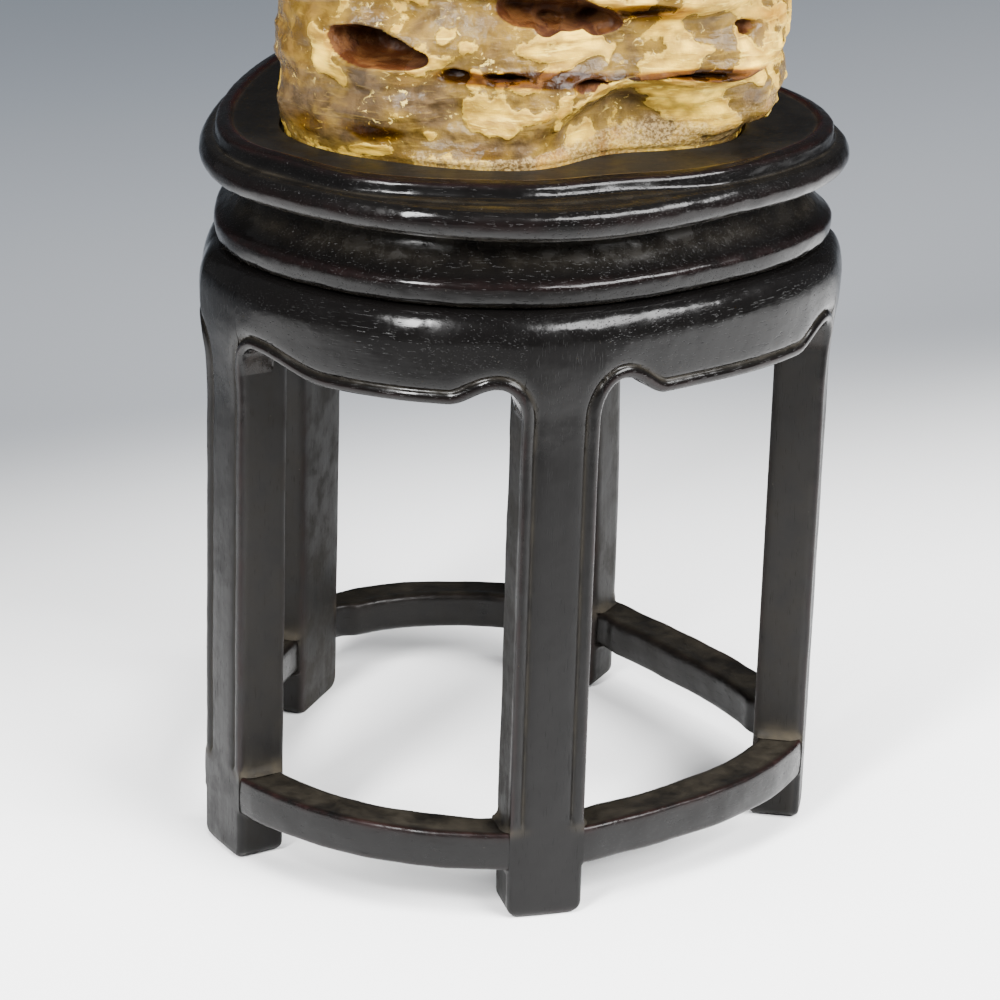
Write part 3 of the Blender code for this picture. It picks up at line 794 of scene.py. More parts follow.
def side_path(start, end, spacing):
    """Places and outward directions along one side, and the distance run at each.

    spacing is a function that makes the distances from the first leg out of the side's length."""
    reach = (end.station - start.station) % PLAN_FINENESS
    chosen = np.arange(start.station, start.station + reach + 1) % PLAN_FINENESS
    path = PLAN[chosen]
    first = start.place(start.width / 2, 0.0)
    last = end.place(-end.width / 2, 0.0)
    begin = int(np.argmin(np.linalg.norm(path - first, axis=1)))
    finish = int(np.argmin(np.linalg.norm(path - last, axis=1)))
    path = path[begin:finish + 1]
    normals = PLAN_NORMALS[chosen][begin:finish + 1]
    run = np.concatenate([[0], np.cumsum(np.linalg.norm(np.diff(path, axis=0), axis=1))])
    near_first = 1 - ease(run / TURNING)
    near_last = 1 - ease((run[-1] - run) / TURNING)
    path = path + near_first[:, None] * (first - path[0]) + near_last[:, None] * (last - path[-1])
    rest = 1 - near_first - near_last
    normals = rest[:, None] * normals + near_first[:, None] * start.face + near_last[:, None] * end.face
    normals /= np.linalg.norm(normals, axis=1)[:, None]
    wanted = spacing(run[-1])
    places = np.stack([np.interp(wanted, run, path[:, i]) for i in (0, 1)], axis=1)
    directions = np.stack([np.interp(wanted, run, normals[:, i]) for i in (0, 1)], axis=1)
    return places, directions, wanted, run[-1]


def set_out(places, directions, outs, heights):
    """Places in space from plan places, outward directions, and grids of out and height."""
    outs, heights = np.broadcast_arrays(outs, heights)
    flat = places[:, None, :] + outs[..., None] * directions[:, None, :]
    return np.concatenate([flat, heights[..., None]], axis=-1)


sides = []  # name, first leg, last leg and the grain's direction of each side
for number, (name, _) in enumerate(SIDES):
    first, last = legs[number], legs[(number + 1) % len(legs)]
    sides.append((name, first, last, (*(last.middle - first.middle), 0.0)))
print("sides:", [(name, round(float(np.linalg.norm(chord)), 1)) for name, _, _, chord in sides])


# %% [markdown]
# ## Aprons
# Each apron is a bowed board that swells with the frame's face. Its rings stand upright, one beside the
# other, and the points of a ring start at the cusped edge and climb the face. Near a leg the edge rises
# steeply, so the rings are set by equal turns of the small arch and not by equal distances.

# %% Aprons
UNDER_OUTS = np.array([-7.35, -6.9, -5.6, -4.0, -2.4, -1.4])  # across the underside, from the back
UNDER_LIFTS = np.array([0.45, 0.1, 0.0, 0.0, 0.0, 0.0])


def apron_spacing(length):
    sweep = np.linspace(0, math.pi / 2, 26)
    near = list(ARCH_REACH * (1 - np.cos(sweep))) + list(np.linspace(ARCH_REACH, 27, 36)[1:])
    near = [value for value in near if value < length / 2 - 0.5]
    middle = np.linspace(near[-1], length - near[-1], max(3, int(length - 2 * near[-1])))[1:-1]
    return np.array(near + list(middle) + [length - value for value in reversed(near)])


def apron_rows(side, start, end):
    """The upright rings of an apron: its face, top, back and underside, with their dust and wear."""
    places, directions, run, length = side_path(start, end, apron_spacing)
    edge = apron_edge(side, run, length)[:, None]
    climb = np.array(FROM_EDGE + [8.0, 10.0])
    share = np.concatenate([climb / 19.0, np.linspace(10.9 / 19, 1, 14)])
    heights = edge + share[None, :] * (FRAME_HEAD - edge)
    spots_2d = np.stack([np.broadcast_to(run[:, None], heights.shape), heights], axis=-1).reshape(-1, 2)
    whole = np.linspace(0, length, 400)
    lines = [window_end(side, False), window_end(side, True) * (-1, 1) + (length, 0),
             np.stack([whole, apron_edge(side, whole, length)], axis=1)]
    distance = np.min([nearest(spots_2d, line) for line in lines], axis=0).reshape(heights.shape)
    base = set_out(places, directions, np.zeros_like(heights), heights)
    outs = bulge(heights) + beading(distance, heights) + uneven(base) * ease((131 - heights) / 6)
    behind = FRAME_HEAD - 0.3 + np.linspace(0, 1, 9)[None, :] * (edge + 1.0 - FRAME_HEAD + 0.3)
    groove_dust, bead_wear = 0.5 * hump(distance - GROOVE, 0.4), 0.3 * hump(distance - 1.1, 0.5)
    parts = []
    for part_outs, part_heights, dust, wear in (
            (outs, heights, groove_dust, bead_wear),
            (np.array([-4.2, -5.8, -6.9, -7.3]) + 0 * edge, FRAME_HEAD, 0, 0),
            (-APRON_DEPTH, behind, 0.2, 0),
            (UNDER_OUTS + 0 * edge, UNDER_LIFTS + edge, 0.15, 0.2)):
        grid = set_out(places, directions, part_outs, part_heights)
        parts.append((grid, dust + 0 * grid[..., 0], wear + 0 * grid[..., 0]))
    return [np.concatenate(columns, axis=1) for columns in zip(*parts)]


for side, first, last, chord in sides:
    rows, dust, wear = apron_rows(side, first, last)
    skin("apron_" + side + "_carved", rows, wood_look, "apron_" + side, {"dust": dust, "wear": wear}, chord)

# %% [markdown]
# ## Stretchers
# The foot stretchers are slim bowed bars. Their tops are dull with dust, and the upper outer edge is rubbed
# to a light brown line. Their thickness and top edge waver a little, as on a bar that was shaped by hand.

# %% Stretchers
BAR_SECTION = [  # (out, height, dust, wear) round the bar, from its lower outer edge up
    (-1.3, 0.0, 0.1, 0.1), (-0.75, 0.16, 0, 0.3), (-0.42, 0.6, 0, 0.2), (-0.3, 1.5, 0, 0), (-0.2, 3.0, 0, 0),
    (-0.2, 5.0, 0, 0), (-0.3, 6.8, 0, 0.1), (-0.4, 7.7, 0, 0.4), (-0.7, 8.22, 0.05, 0.7),
    (-1.25, 8.4, 0.4, 0.3), (-2.2, 8.3, 1, 0), (-4.0, 8.2, 1, 0), (-6.5, 8.2, 1, 0), (-8.6, 8.35, 0.9, 0),
    (-9.5, 8.1, 0.4, 0.2), (-9.9, 7.4, 0.2, 0.1), (-10.0, 5.0, 0.2, 0), (-10.0, 2.2, 0.2, 0),
    (-9.8, 0.8, 0.2, 0), (-9.2, 0.1, 0.1, 0), (-7.0, 0.0, 0, 0), (-4.0, 0.0, 0, 0),
]
BAR_MIDDLE = np.array((-5.15, 4.2))  # middle of the bar's section


def bar_rows(start, end):
    """The rings of a bar, with their dust and wear. They waver in and out from the bar's middle."""
    places, directions, run, length = side_path(start, end, lambda size: np.linspace(0, size, 90))
    ring = flowing(BAR_SECTION + BAR_SECTION[:1], 0.45)[:-1]
    outs = ring[None, :, 0] + 0 * run[:, None]
    heights = STRETCHER_FOOT + ring[None, :, 1]
    grid = set_out(places, directions, outs, heights)
    sway = 0.24 * rough(grid, 13, 51) + 0.12 * rough(grid, 5, 52)
    sway = sway * ease(np.minimum(run, length - run) / 5)[:, None]
    away = ring[:, :2] - BAR_MIDDLE
    away /= np.linalg.norm(away, axis=1)[:, None]
    grid = set_out(places, directions, outs + sway * away[:, 0], heights + sway * away[:, 1])
    return grid, 0.42 * ring[:, 2] + 0 * outs, ring[:, 3] + 0 * outs


for side, first, last, chord in sides:
    rows, dust, wear = bar_rows(first, last)
    skin("stretcher_" + side + "_shaped", rows, wood_look, "stretcher_" + side,
         {"dust": dust, "wear": wear, "matt": 0.5 + 0 * dust}, chord)

# %% [markdown]
# ## The rock's form
# The rock starts as a plain boulder: the outline of its foot widens into a squarish round body, which
# closes over at the top. Weathering then pushes the skin in and out along its normals. Broad lumps and
# swells come first, then undercuts between its layers, and then hollows, which are ragged ovals pressed
# in. The finished skin repeats the plain solid's forms with far more points, and adds what only a fine
# skin can show: sharper lips, a pale crust in flakes with ragged edges, and ripples along the layers.

# %% The plain boulder
ROCK_AXIS = (-0.6, -3.7)
ROCK_HEIGHT = 137.4
ROCK_HALF_WIDTH = 53.5
ROCK_HALF_DEPTH = 51.0
ROCK_SQUARENESS = 2.7  # of the plan, where 2 is an ellipse
DOME_SQUARENESS = 3.0  # of the upright outline
ROCK_TAPER = 0.10  # narrower at the top by this share
ROCK_LEAN = (-7.0, 5.0)  # the top's shift in x and y
FOOT_HEIGHT = 17.0  # the foot widens into the body over this height
print("the plain boulder is", 2 * ROCK_HALF_WIDTH, "by", 2 * ROCK_HALF_DEPTH, "by", ROCK_HEIGHT, "mm")


def foot_radius(angles):
    """Distance of the foot's outline from the rock's axis, by direction."""
    return reach_towards(closed_curve(ROCK_FOOT, OUTLINE_STEPS) - np.array(ROCK_AXIS), angles)


def body_radius(angles):
    side = (np.abs(np.cos(angles)) / ROCK_HALF_WIDTH) ** ROCK_SQUARENESS
    side += (np.abs(np.sin(angles)) / ROCK_HALF_DEPTH) ** ROCK_SQUARENESS
    return side ** (-1 / ROCK_SQUARENESS)


def upright_outline(count):
    """(share of the full radius, height) from the foot over to the top, with more steps low down."""
    rise = np.linspace(0, math.pi / 2, 4000)
    share = np.cos(rise) ** (2 / DOME_SQUARENESS)
    height = ROCK_HEIGHT * np.sin(rise) ** (2 / DOME_SQUARENESS)
    run = np.hypot(np.diff(share) * ROCK_HALF_WIDTH, np.diff(height))
    run = np.concatenate([[0], np.cumsum(run)])
    crowding = np.interp(height, [0, 38, 70, ROCK_HEIGHT], [2.6, 2.6, 1.0, 0.7])
    weight = np.concatenate([[0], np.cumsum(np.diff(run) * crowding[1:])])
    steps = np.interp(np.linspace(0, weight[-1], count), weight, run)
    return np.interp(steps, run, share), np.interp(steps, run, height)


def plain_rock(angles, share, height):
    """The boulder before weathering: places in millimetres, with heights above the board."""
    widening = ease(height / FOOT_HEIGHT) ** 0.75
    radius = foot_radius(angles) * (1 - widening) + body_radius(angles) * widening
    radius = radius * share * (1 - ROCK_TAPER * height / ROCK_HEIGHT)
    lean = (height / ROCK_HEIGHT) ** 2
    x = ROCK_AXIS[0] + ROCK_LEAN[0] * lean + radius * np.cos(angles)
    y = ROCK_AXIS[1] + ROCK_LEAN[1] * lean + radius * np.sin(angles)
    return np.stack([x, y, height], axis=-1)


# %% [markdown]
# ## Lumps, ledges and hollows
# The lists below hold what makes this rock itself. Each lobe is a swell or a saddle at a place. Each ledge
# is an undercut that wanders up and down and fades in and out on its way round. Each hollow is a ragged
# oval that narrows to the right, with a direction, a height, a size, a depth and a tilt. All of it is
# measured above the board.

# %% Lists of lumps, ledges and hollows
LUMPS = [  # (push, size, seed, how many times wider than tall) of its lumps, broad ones first
    (9.0, 75, 9, 1.0), (4.5, 38, 2, 1.8), (2.6, 19, 3, 1.8), (1.4, 9, 4, 1.8),
]
LOBES = [  # (x, y, height, spread, push) of the big swells and saddles
    (-44, 22, 98, 36, 11), (46, -14, 50, 30, 2), (30, 14, 122, 32, -16), (-10, -34, 128, 24, -7),
    (14, 44, 60, 30, -6), (-54, -6, 18, 26, -3), (55, -8, 16, 16, 1), (24, -48.5, 11.5, 13.5, -6.8),
]
LEDGES = [  # (height, depth, slope in x, slope in y) of the undercuts between its layers
    (17.5, 5.5, 0.02, 0.0), (36.0, 4.0, 0.05, 0.10), (58.0, 6.0, -0.10, 0.08),
    (79.0, 5.0, 0.12, -0.06), (101.0, 5.5, -0.06, -0.12), (121.0, 4.0, 0.10, 0.10),
]
LEDGE_GAPS = [  # (direction, height, reach round, reach up, share) where the undercuts fade away
    (207, 17.5, 19, 12, 0.85), (300, 6.5, 24, 7.5, 0.92),
]
WAVE = 9.0  # how far the undercuts wander up and down
HOLLOWS = [  # (direction, height, width, tallness, depth, tilt, how dark it is inside)
    (236.5, 22.6, 20.5, 7.8, 12, -10, 1.0), (277.5, 31.2, 27, 8.2, 6.2, -5, 1.0),
    (275.3, 28.6, 6.5, 5.0, 2.5, 0, 1.0), (288.0, 28.8, 9, 5.4, 2.5, 0, 1.0),
    (287.2, 15.0, 8.0, 4.6, 11, -12, 1.0), (294.5, 15.4, 13, 3.0, 9, 2, 1.0),
    (312.0, 16.9, 16, 2.6, 2.5, 4, 0.2), (266.5, 18.1, 9, 2.0, 4, -2, 0.8),
    (254.5, 18.3, 6.5, 3.0, 2.5, 0, 0.25), (322.5, 26.6, 3.4, 3.0, 3.5, 15, 1.0),
    (297.5, 31.5, 13, 3.0, 3.0, 3, 0.15), (203, 64.0, 20, 11, 12, 12, 1.0),
    (253, 73.0, 34, 13, 16, -10, 1.0), (299, 61.0, 17, 10, 10, 14, 1.0),
    (335, 88.0, 24, 10, 13, -12, 1.0), (286, 104.0, 20, 9, 10, 8, 0.9),
    (18, 44.0, 28, 10, 12, 8, 1.0), (52, 70.0, 22, 16, 15, -18, 1.0),
    (96, 34.0, 30, 10, 13, 5, 1.0), (122, 86.0, 26, 13, 13, -8, 1.0),
    (158, 48.0, 19, 11, 11, 12, 1.0), (184, 98.0, 16, 9, 9, 0, 0.9),
]
HOLLOW_SQUARENESS = 2.3  # where 2 is an ellipse
HOLLOW_TAPER = 0.42  # how much a hollow narrows towards its right end
SWING = 50.0  # the radius at which widths round the rock are measured
print("ledges:", len(LEDGES), "hollows:", len(HOLLOWS))


# %% Weathering
def across_from(angles, facing):
    """How far round the rock a place is from a direction, in millimetres at the usual radius."""
    return np.radians(turn(np.degrees(angles), facing)) * SWING


def weathering(points, angles):
    """How far the skin stands out from the plain boulder, how deep in a hollow it is, and how undercut."""
    height = points[..., 2]
    depth = np.zeros_like(height)
    for push, size, seed, layering in LUMPS:
        depth += push * rough(points * (1, 1, layering), size, seed)
    for x, y, level, spread, push in LOBES:
        away = np.linalg.norm(points - (x, y, level), axis=-1)
        depth += push * np.exp(-(away / spread) ** 2)
    wave = WAVE * rough(points * (1, 1, 0.25), 46, 5)
    undercut = np.zeros_like(height)
    for i, (level, deep, slope_x, slope_y) in enumerate(LEDGES):
        above = height - level - wave - slope_x * points[..., 0] - slope_y * points[..., 1]
        strength = ease(0.55 + 2.0 * rough(points * (1, 1, 0.4), 36, 10 + i))
        for facing, middle, reach_round, reach_up, share in LEDGE_GAPS:
            near = hump(height - middle, reach_up) * hump(across_from(angles, facing), reach_round)
            strength = strength * (1 - share * near)
        groove = np.exp(-(above / np.where(above > 0, 1.8, 6.5)) ** 2)
        depth -= deep * strength * groove
        # Painted shade: a band just under each ledge, which the stone's colour darkens with the brown tints.
        undercut = np.maximum(undercut, strength * hump(above + 0.3, 2.0))
    ragged = 1 + 0.55 * rough(points, 8, 6) + 0.22 * rough(points, 3.5, 7)
    hollow = np.full_like(height, -1.0)
    stained = np.zeros_like(height)
    for facing, level, width, tallness, deep, tilt, dark in HOLLOWS:
        across = across_from(angles, facing)
        above = height - level
        tilt = math.radians(tilt)
        u = (across * math.cos(tilt) + above * math.sin(tilt)) / (width / 2)
        v = (above * math.cos(tilt) - across * math.sin(tilt)) / (tallness / 2)
        v = v / (1 - HOLLOW_TAPER * np.clip(u, 0, 1))
        inside = 1 - (np.abs(u) ** HOLLOW_SQUARENESS + np.abs(v) ** HOLLOW_SQUARENESS) * ragged
        depth -= deep * ease((inside + 0.06) / 0.9)
        hollow = np.maximum(hollow, inside - 1.3 * (1 - dark))
        stained = np.maximum(stained, (0.25 + 0.5 * dark) * ease((inside + 0.7) / 0.8))
    return depth * ease((height - 0.5) / 6), hollow, stained, undercut


# %% [markdown]
# ## Crust, honey and rust
# Much of the rock is covered by a pale, chalky crust about half a millimetre thick, broken away in flakes
# so that the stone shows between them. The bare stone is grey in places and honey-coloured in others. Iron
# has stained it orange and brown, and the rim of its foot is gritty. Where each of these lies follows
# smooth noise with an added bias by place, and the values then lift the skin and colour it.

# %% Marks on the stone
MARKS = {  # (direction, height, reach round, reach up, how much more or less there is)
    "crust": [
        (234, 31.0, 10, 3.2, 1.0), (224.5, 20.0, 2.4, 3.6, 1.3), (228.5, 14.5, 2.4, 4.2, 1.5),
        (207, 19.0, 15, 10, -1.6), (240, 13.0, 13, 6.0, -1.8), (249, 27.0, 8, 4.6, -0.9),
        (260, 21.8, 8, 2.2, -1.0), (258, 14.6, 8, 3.4, 0.7), (266, 10.5, 8, 4.6, 0.7),
        (279, 24.2, 12, 3.4, 2.0), (293.5, 24.6, 4.4, 3.2, -1.9), (303, 24.0, 6, 4.5, 0.3),
        (314.5, 24.0, 4.0, 8.0, -1.9), (328, 18.5, 8, 8.5, 0.9), (326, 10.5, 4.2, 3.4, -1.5),
        (311, 9.6, 9, 4.2, 1.6), (289, 11.5, 6, 3.0, 0.9), (303.5, 5.6, 7.5, 2.2, -0.6),
        (287, 8.0, 3.6, 2.4, -1.0), (274, 12.0, 6, 4.5, 0.8), (276.5, 4.6, 6.5, 2.6, -1.2),
        (251, 5.5, 13, 4.5, -1.2), (260, 4.2, 9, 3.0, -1.1), (222, 7.5, 13, 6.5, -1.8),
        (280.5, 17.0, 5.5, 2.2, -1.6), (235.5, 2.0, 4.6, 1.5, 2.0), (323, 21, 5, 7, -0.7),
    ],
    "honey": [
        (211, 20.5, 17, 9.5, 1.4), (214, 5.0, 17, 8.0, -1.5), (239, 12.0, 13, 6.0, -1.3),
        (250, 27.0, 9, 6.0, -0.2), (314.5, 24.0, 5, 8.0, -1.2), (325, 11.0, 6, 4.0, -0.6),
        (293.5, 24.6, 5, 3.5, -0.4), (303.5, 5.6, 8, 3, -1.0), (244, 17.5, 4, 3.0, 1.3),
        (289, 9.6, 5, 4.0, -0.8), (262, 4.0, 10, 4.0, -0.3),
    ],
    "rust": [
        (217, 4.4, 9, 2.6, 0.6), (237.5, 5.6, 6, 2.2, 1.0), (231, 6.5, 12, 1.6, 0.35),
        # The two broad patches along the crease at 17 to 18 mm are partly painted shade in that crease.
        (279, 10.8, 6, 3.4, 0.45), (310, 17.2, 16, 2.0, 1.9), (298, 31.3, 11, 1.8, 0.75),
        (326, 26.4, 5.5, 4.0, 0.55), (225.5, 23.0, 5, 3.6, 0.5), (272, 17.9, 17, 1.8, 1.7),
        (260, 3.2, 10, 2.4, 0.7), (280.5, 16.8, 6, 2.0, 0.45), (254, 18.3, 5, 1.8, 0.7),
        (247, 22.5, 3, 2.6, 0.35), (332, 30.0, 6, 4.0, 0.4),
    ],
    "grit": [
        (288, 1.2, 20, 2.2, 1.0), (318, 2.6, 18, 3.0, 1.0), (336, 8.0, 10, 5.0, 0.6),
        (258, 0.8, 16, 1.4, 0.8), (215, 0.6, 20, 1.0, 0.5),
    ],
}
print("marks:", {what: len(places) for what, places in MARKS.items()})


def marked(what, points, angles):
    """The bias of one kind of mark: rounded patches that add up."""
    value = np.zeros(angles.shape)
    for facing, level, reach_round, reach_up, more in MARKS[what]:
        away = (across_from(angles, facing) / reach_round) ** 2 + ((points[..., 2] - level) / reach_up) ** 2
        value += more * np.exp(-away ** 2)
    return value


def crusting(points, angles):
    """Above 0 where the rock is crusted, more so in the middle of a flake."""
    value = 0.9 * rough(points * (1, 1, 1.4), 14, 61) + 0.8 * rough(points * (1, 1, 1.3), 6.0, 62)
    value += 0.65 * rough(points, 2.8, 63) + 0.6 * rough(points, 42, 64)
    value += 0.4 * ease((points[..., 2] - 38) / 20) + 0.4 * hump(across_from(angles, 90), 62)
    return value + 0.5 * marked("crust", points, angles)


# %% The weathered skin
ROCK_RINGS = 240
ROCK_STEPS = 410
CROWDING = 0.32  # how much closer the steps round the rock lie on its front
CRUST_THICK = 0.5


def rock_grids():
    """The weathered skin as rings of places in millimetres, and the values that colour it."""
    even = np.linspace(0, 2 * math.pi, ROCK_STEPS, endpoint=False)
    angles = even - CROWDING * np.sin(even - math.radians(270))
    share, level = (column[:-1] for column in upright_outline(ROCK_RINGS))
    grid_angles, grid_share = np.meshgrid(angles, share)
    grid_level = np.meshgrid(angles, level)[1]
    plain = plain_rock(grid_angles, grid_share, grid_level)
    upright = np.gradient(plain, axis=0)
    around = np.roll(plain, -1, 1) - np.roll(plain, 1, 1)
    normals = np.cross(around, upright)
    normals /= np.linalg.norm(normals, axis=2)[..., None]
    depth, hollow, stained, undercut = weathering(plain, grid_angles)
    crust = crusting(plain, grid_angles)
    in_hollow = ease(hollow / 0.2)
    flake = ease((crust + 0.02) / 0.12) * (1 - in_hollow)
    fine = 0.30 * rough(plain * (1, 1, 2.2), 4.6, 71) + 0.14 * rough(plain * (1, 1, 2.0), 2.0, 72)
    rippled = np.sin(2 * math.pi * (grid_level + 2.5 * rough(plain, 22, 73)) / 3.1)
    fine += 0.10 * rippled * ease(0.5 + rough(plain, 25, 74))
    honey = 0.8 * rough(plain, 26, 65) + 0.4 * rough(plain, 8, 66) + marked("honey", plain, grid_angles)
    near_foot = ease((grid_level - 0.8) / 3)
    skin_depth = depth + near_foot * (CRUST_THICK * flake + fine * (1 - 0.3 * in_hollow))
    skin_depth -= 0.5 * hump(grid_level, 0.6)
    places = plain + normals * skin_depth[..., None]
    places[..., 2] = np.maximum(places[..., 2], 0) + BOARD_HEAD
    under = places[0].copy()
    under[:, 2] = BOARD_HEAD - SEAT_DEEP + 0.05
    grid = np.concatenate([under[None], places])
    values = {"crust": crust, "hollow": hollow, "stained": stained, "undercut": undercut, "honey": honey}
    values.update({what: marked(what, plain, grid_angles) for what in ("rust", "grit")})
    return grid, {name: np.concatenate([value[:1], value]) for name, value in values.items()}


# %% [markdown]
# ## Chalcedony
# Chalcedony is quartz in fibres too fine to see. Light sinks into it a little way, so it looks deep and
# waxy, and a fresh face is glossy. This rock is grey and honey-coloured inside, with pale flecks that
# also serve as painted glints, a cream crust whose flake edges carry a painted highlight, and brown and
# orange iron stains that gather in its hollows. Under its ledges the same brown tints are laid as painted
# shade. The light that sinks in is given by the shader's subsurface values, which are the same all over.
# Colour, gloss and fine bumps vary.

# %% Colours of the stone
STONE = {  # the darker and the lighter colour of each kind of stone and crust
    "grey": ((0.047, 0.0285, 0.0120), (0.098, 0.061, 0.0270)),
    "golden": ((0.068, 0.037, 0.008), (0.140, 0.079, 0.018)),
    "milky": ((0.105, 0.060, 0.009), (0.20, 0.122, 0.018)),
    "cream": ((0.23, 0.128, 0.015), (0.42, 0.260, 0.036)),
    "gravel": ((0.085, 0.052, 0.022), (0.38, 0.27, 0.12)),
    "hollow": ((0.036, 0.0105, 0.0028), (0.088, 0.034, 0.0095)),
}
THIN_CREAM, STAINED_CREAM, STAINED_GRAVEL = (0.27, 0.152, 0.016), (0.24, 0.115, 0.009), (0.25, 0.105, 0.02)
# On the next line, the pale edge colour is a painted highlight on the margins of the crust's flakes.
THICK_CREAM, PALE_THREAD, PAINTED_EDGE_HIGHLIGHT = (0.94, 0.60, 0.060), (0.88, 0.64, 0.11), (0.80, 0.55, 0.075)
# On the next line, the pale fleck colour is a painted glint: flecks lit as sparkles of light.
CLEAR_LAYER, CLEAR_THREAD, PAINTED_GLINT_FLECK = (0.22, 0.135, 0.022), (0.36, 0.235, 0.050), (0.70, 0.51, 0.13)
# The brown tints on the next line also darken the undercuts below the ledges, as painted shade.
RUST_AND_SHADE_TINT, DEEP_RUST_AND_SHADE_TINT = (0.60, 0.46, 0.12), (0.28, 0.19, 0.09)
print("kinds of stone:", ", ".join(STONE))


# %% Chalcedony
def clear_stone(stone, field, cloud, mottle, layers, threads, flecks):
    """The bare stone: grey or golden, milkier near the crust, with pale layers and threads, and pale flecks
    that are painted glints.
    """
    golden = (stone.attribute("honey") + (cloud - 0.5) * 1.6).between(-0.25, 0.35)
    milky = (field + (cloud - 0.5) * 1.4).between(-1.15, 0.15) * 0.85
    return stone.coats(stone.mix(mottle.between(0.38, 0.62), *STONE["grey"]),
                       (golden, stone.mix(mottle.between(0.38, 0.62), *STONE["golden"])),
                       (milky, stone.mix(mottle.between(0.35, 0.65), *STONE["milky"])),
                       (layers.between(0.54, 0.68) * 0.35, CLEAR_LAYER),
                       (threads.between(0.60, 0.68) * 0.2, CLEAR_THREAD), (flecks * 0.8, PAINTED_GLINT_FLECK))


def cream_crust(stone, thick, cloud, mottle, layers, threads):
    """The crust: thin and brownish at its margins, thick and pale in the middle of a flake."""
    return stone.coats(stone.mix(layers.between(0.34, 0.66), *STONE["cream"]),
                       (mottle.between(0.45, 0.64) * 0.6, THIN_CREAM),
                       (cloud.between(0.48, 0.64) * 0.6, STAINED_CREAM),
                       (thick * layers.between(0.32, 0.60), THICK_CREAM),
                       (threads.between(0.56, 0.66) * 0.5, PALE_THREAD))


def chalcedony():
    stone = Bench("honey chalcedony")
    place = stone.place()
    fine = stone.noise(place, 520.0, 5.0, 0.62)
    grainy = stone.noise(place, 1500.0, 3.0, 0.6)
    cloud = stone.noise(place, 60.0, 5.0, 0.6, 0.6)
    mottle = stone.noise(place, 210.0, 4.0, 0.6, 0.4)
    layers = stone.noise(stone.stretched(place, (60, 60, 330)), 1.0, 4.0, 0.6, 0.4)
    threads = stone.noise(stone.stretched(place, (170, 170, 1200)), 1.0, 3.0, 0.6, 0.8)
    # Pale flecks that also serve as painted glints: bright sparkles laid into the colour.
    flecks = stone.noise(stone.stretched(place, (1, 1, 1.4)), 430.0, 3.0, 0.6, 1.2).between(0.61, 0.68)
    flecks = flecks * stone.noise(place, 120.0, 2.0).between(0.46, 0.60)
    field = stone.attribute("crust")
    torn = (fine - 0.5) * 0.8 + (mottle - 0.5) * 0.9
    crust = (field + torn).between(-0.08, 0.08)
    thick = (field + (cloud - 0.5) * 1.6 + (mottle - 0.5) * 1.0).between(0.05, 0.9)
    # A painted highlight: a pale band along the margins of the crust's flakes, as if their edges catch the
    # light.
    edge = (field + torn).between(0.24, 0.02) * crust
    hollow = (stone.attribute("hollow") + (mottle - 0.5) * 0.06).between(0.0, 0.05)
    # This mask holds the rust marks, the stains round the hollows, and painted shade under the ledges.
    rust = (stone.attribute("rust") + stone.attribute("stained") * 0.35 + stone.attribute("undercut") * 0.35
            + (cloud - 0.5) * 1.1 + (mottle - 0.5) * 0.6)
    grit = (stone.attribute("grit") + (mottle - 0.5) * 1.4).between(0.45, 0.8)
    gravel = stone.coats(stone.mix(grainy.between(0.40, 0.60), *STONE["gravel"]),
                         (cloud.between(0.5, 0.6) * 0.6, STAINED_GRAVEL))
    colour = stone.coats(clear_stone(stone, field, cloud, mottle, layers, threads, flecks),
                         (crust * 0.9, cream_crust(stone, thick, cloud, mottle, layers, threads)),
                         (edge * 0.30, PAINTED_EDGE_HIGHLIGHT),
                         (rust.between(0.30, 0.85), RUST_AND_SHADE_TINT, "MULTIPLY"),
                         (rust.between(0.75, 1.30), DEEP_RUST_AND_SHADE_TINT, "MULTIPLY"),
                         (grit * 0.6, gravel),
                         (hollow, stone.mix(mottle.between(0.42, 0.66), *STONE["hollow"])))
    height = fine * 0.7 + grainy * (0.16 + grit * 0.3) + layers * 0.3 + threads * 0.3 + crust * 0.5
    height = height + stone.cells(place, 430.0) * (0.4 - crust * 0.3) + flecks * 0.2
    roughness = 0.15 + crust * 0.37 + (fine - 0.5) * 0.3 + hollow * 0.3 + grit * 0.2
    return stone.surface((height, 0.6, 0.0007), Base_Color=colour, Roughness=roughness, IOR=1.24,
                         Subsurface_Weight=0.15, Subsurface_Radius=(1.0, 0.55, 0.22), Subsurface_Scale=0.003)


rock_grid, rock_values = rock_grids()
skin("weathered_rock", rock_grid, chalcedony(), "rock", rock_values, None, 180)

# %% [markdown]
# ## Floor and light
# The stand is seen on a plain sweep, white around the stand, whose paper rises far behind. The fall of the
# light over it is painted into the paper as painted shade: a cool grey far behind, a little lighter to the
# right, darker up the wall, and a grey in front of the stand, out of view, that dims its reflection in the
# wood. Two large soft oval lamps stand in front, one on each side, and give the paired highlights on the
# mouldings. A third hangs above and only fills: it adds no shine of its own. The pale sky of the world
# fills the shadows.

# %% Floor
SWEEP_FRONT = -2500.0
SWEEP_BACK = 1900.0  # where the floor begins to rise
SWEEP_TURN = 500.0  # the radius of its rise
SWEEP_TOP = 3400.0
SWEEP_HALF_WIDTH = 3000.0
PAPER = (0.95, 0.95, 0.95)
# The greys below are painted shade: the light that falls off far behind, up the wall and in front of the
# stand.
PAINTED_SHADE_GREY = (0.155, 0.163, 0.175)
PAINTED_FAR_SHADE = (0.092, 0.104, 0.121)
PAINTED_RIGHT_LIGHT = (0.17, 0.18, 0.195)
PAINTED_NEAR_SHADE = (0.21, 0.21, 0.21)
PAINTED_WALL_SHADE = (0.045, 0.050, 0.057)


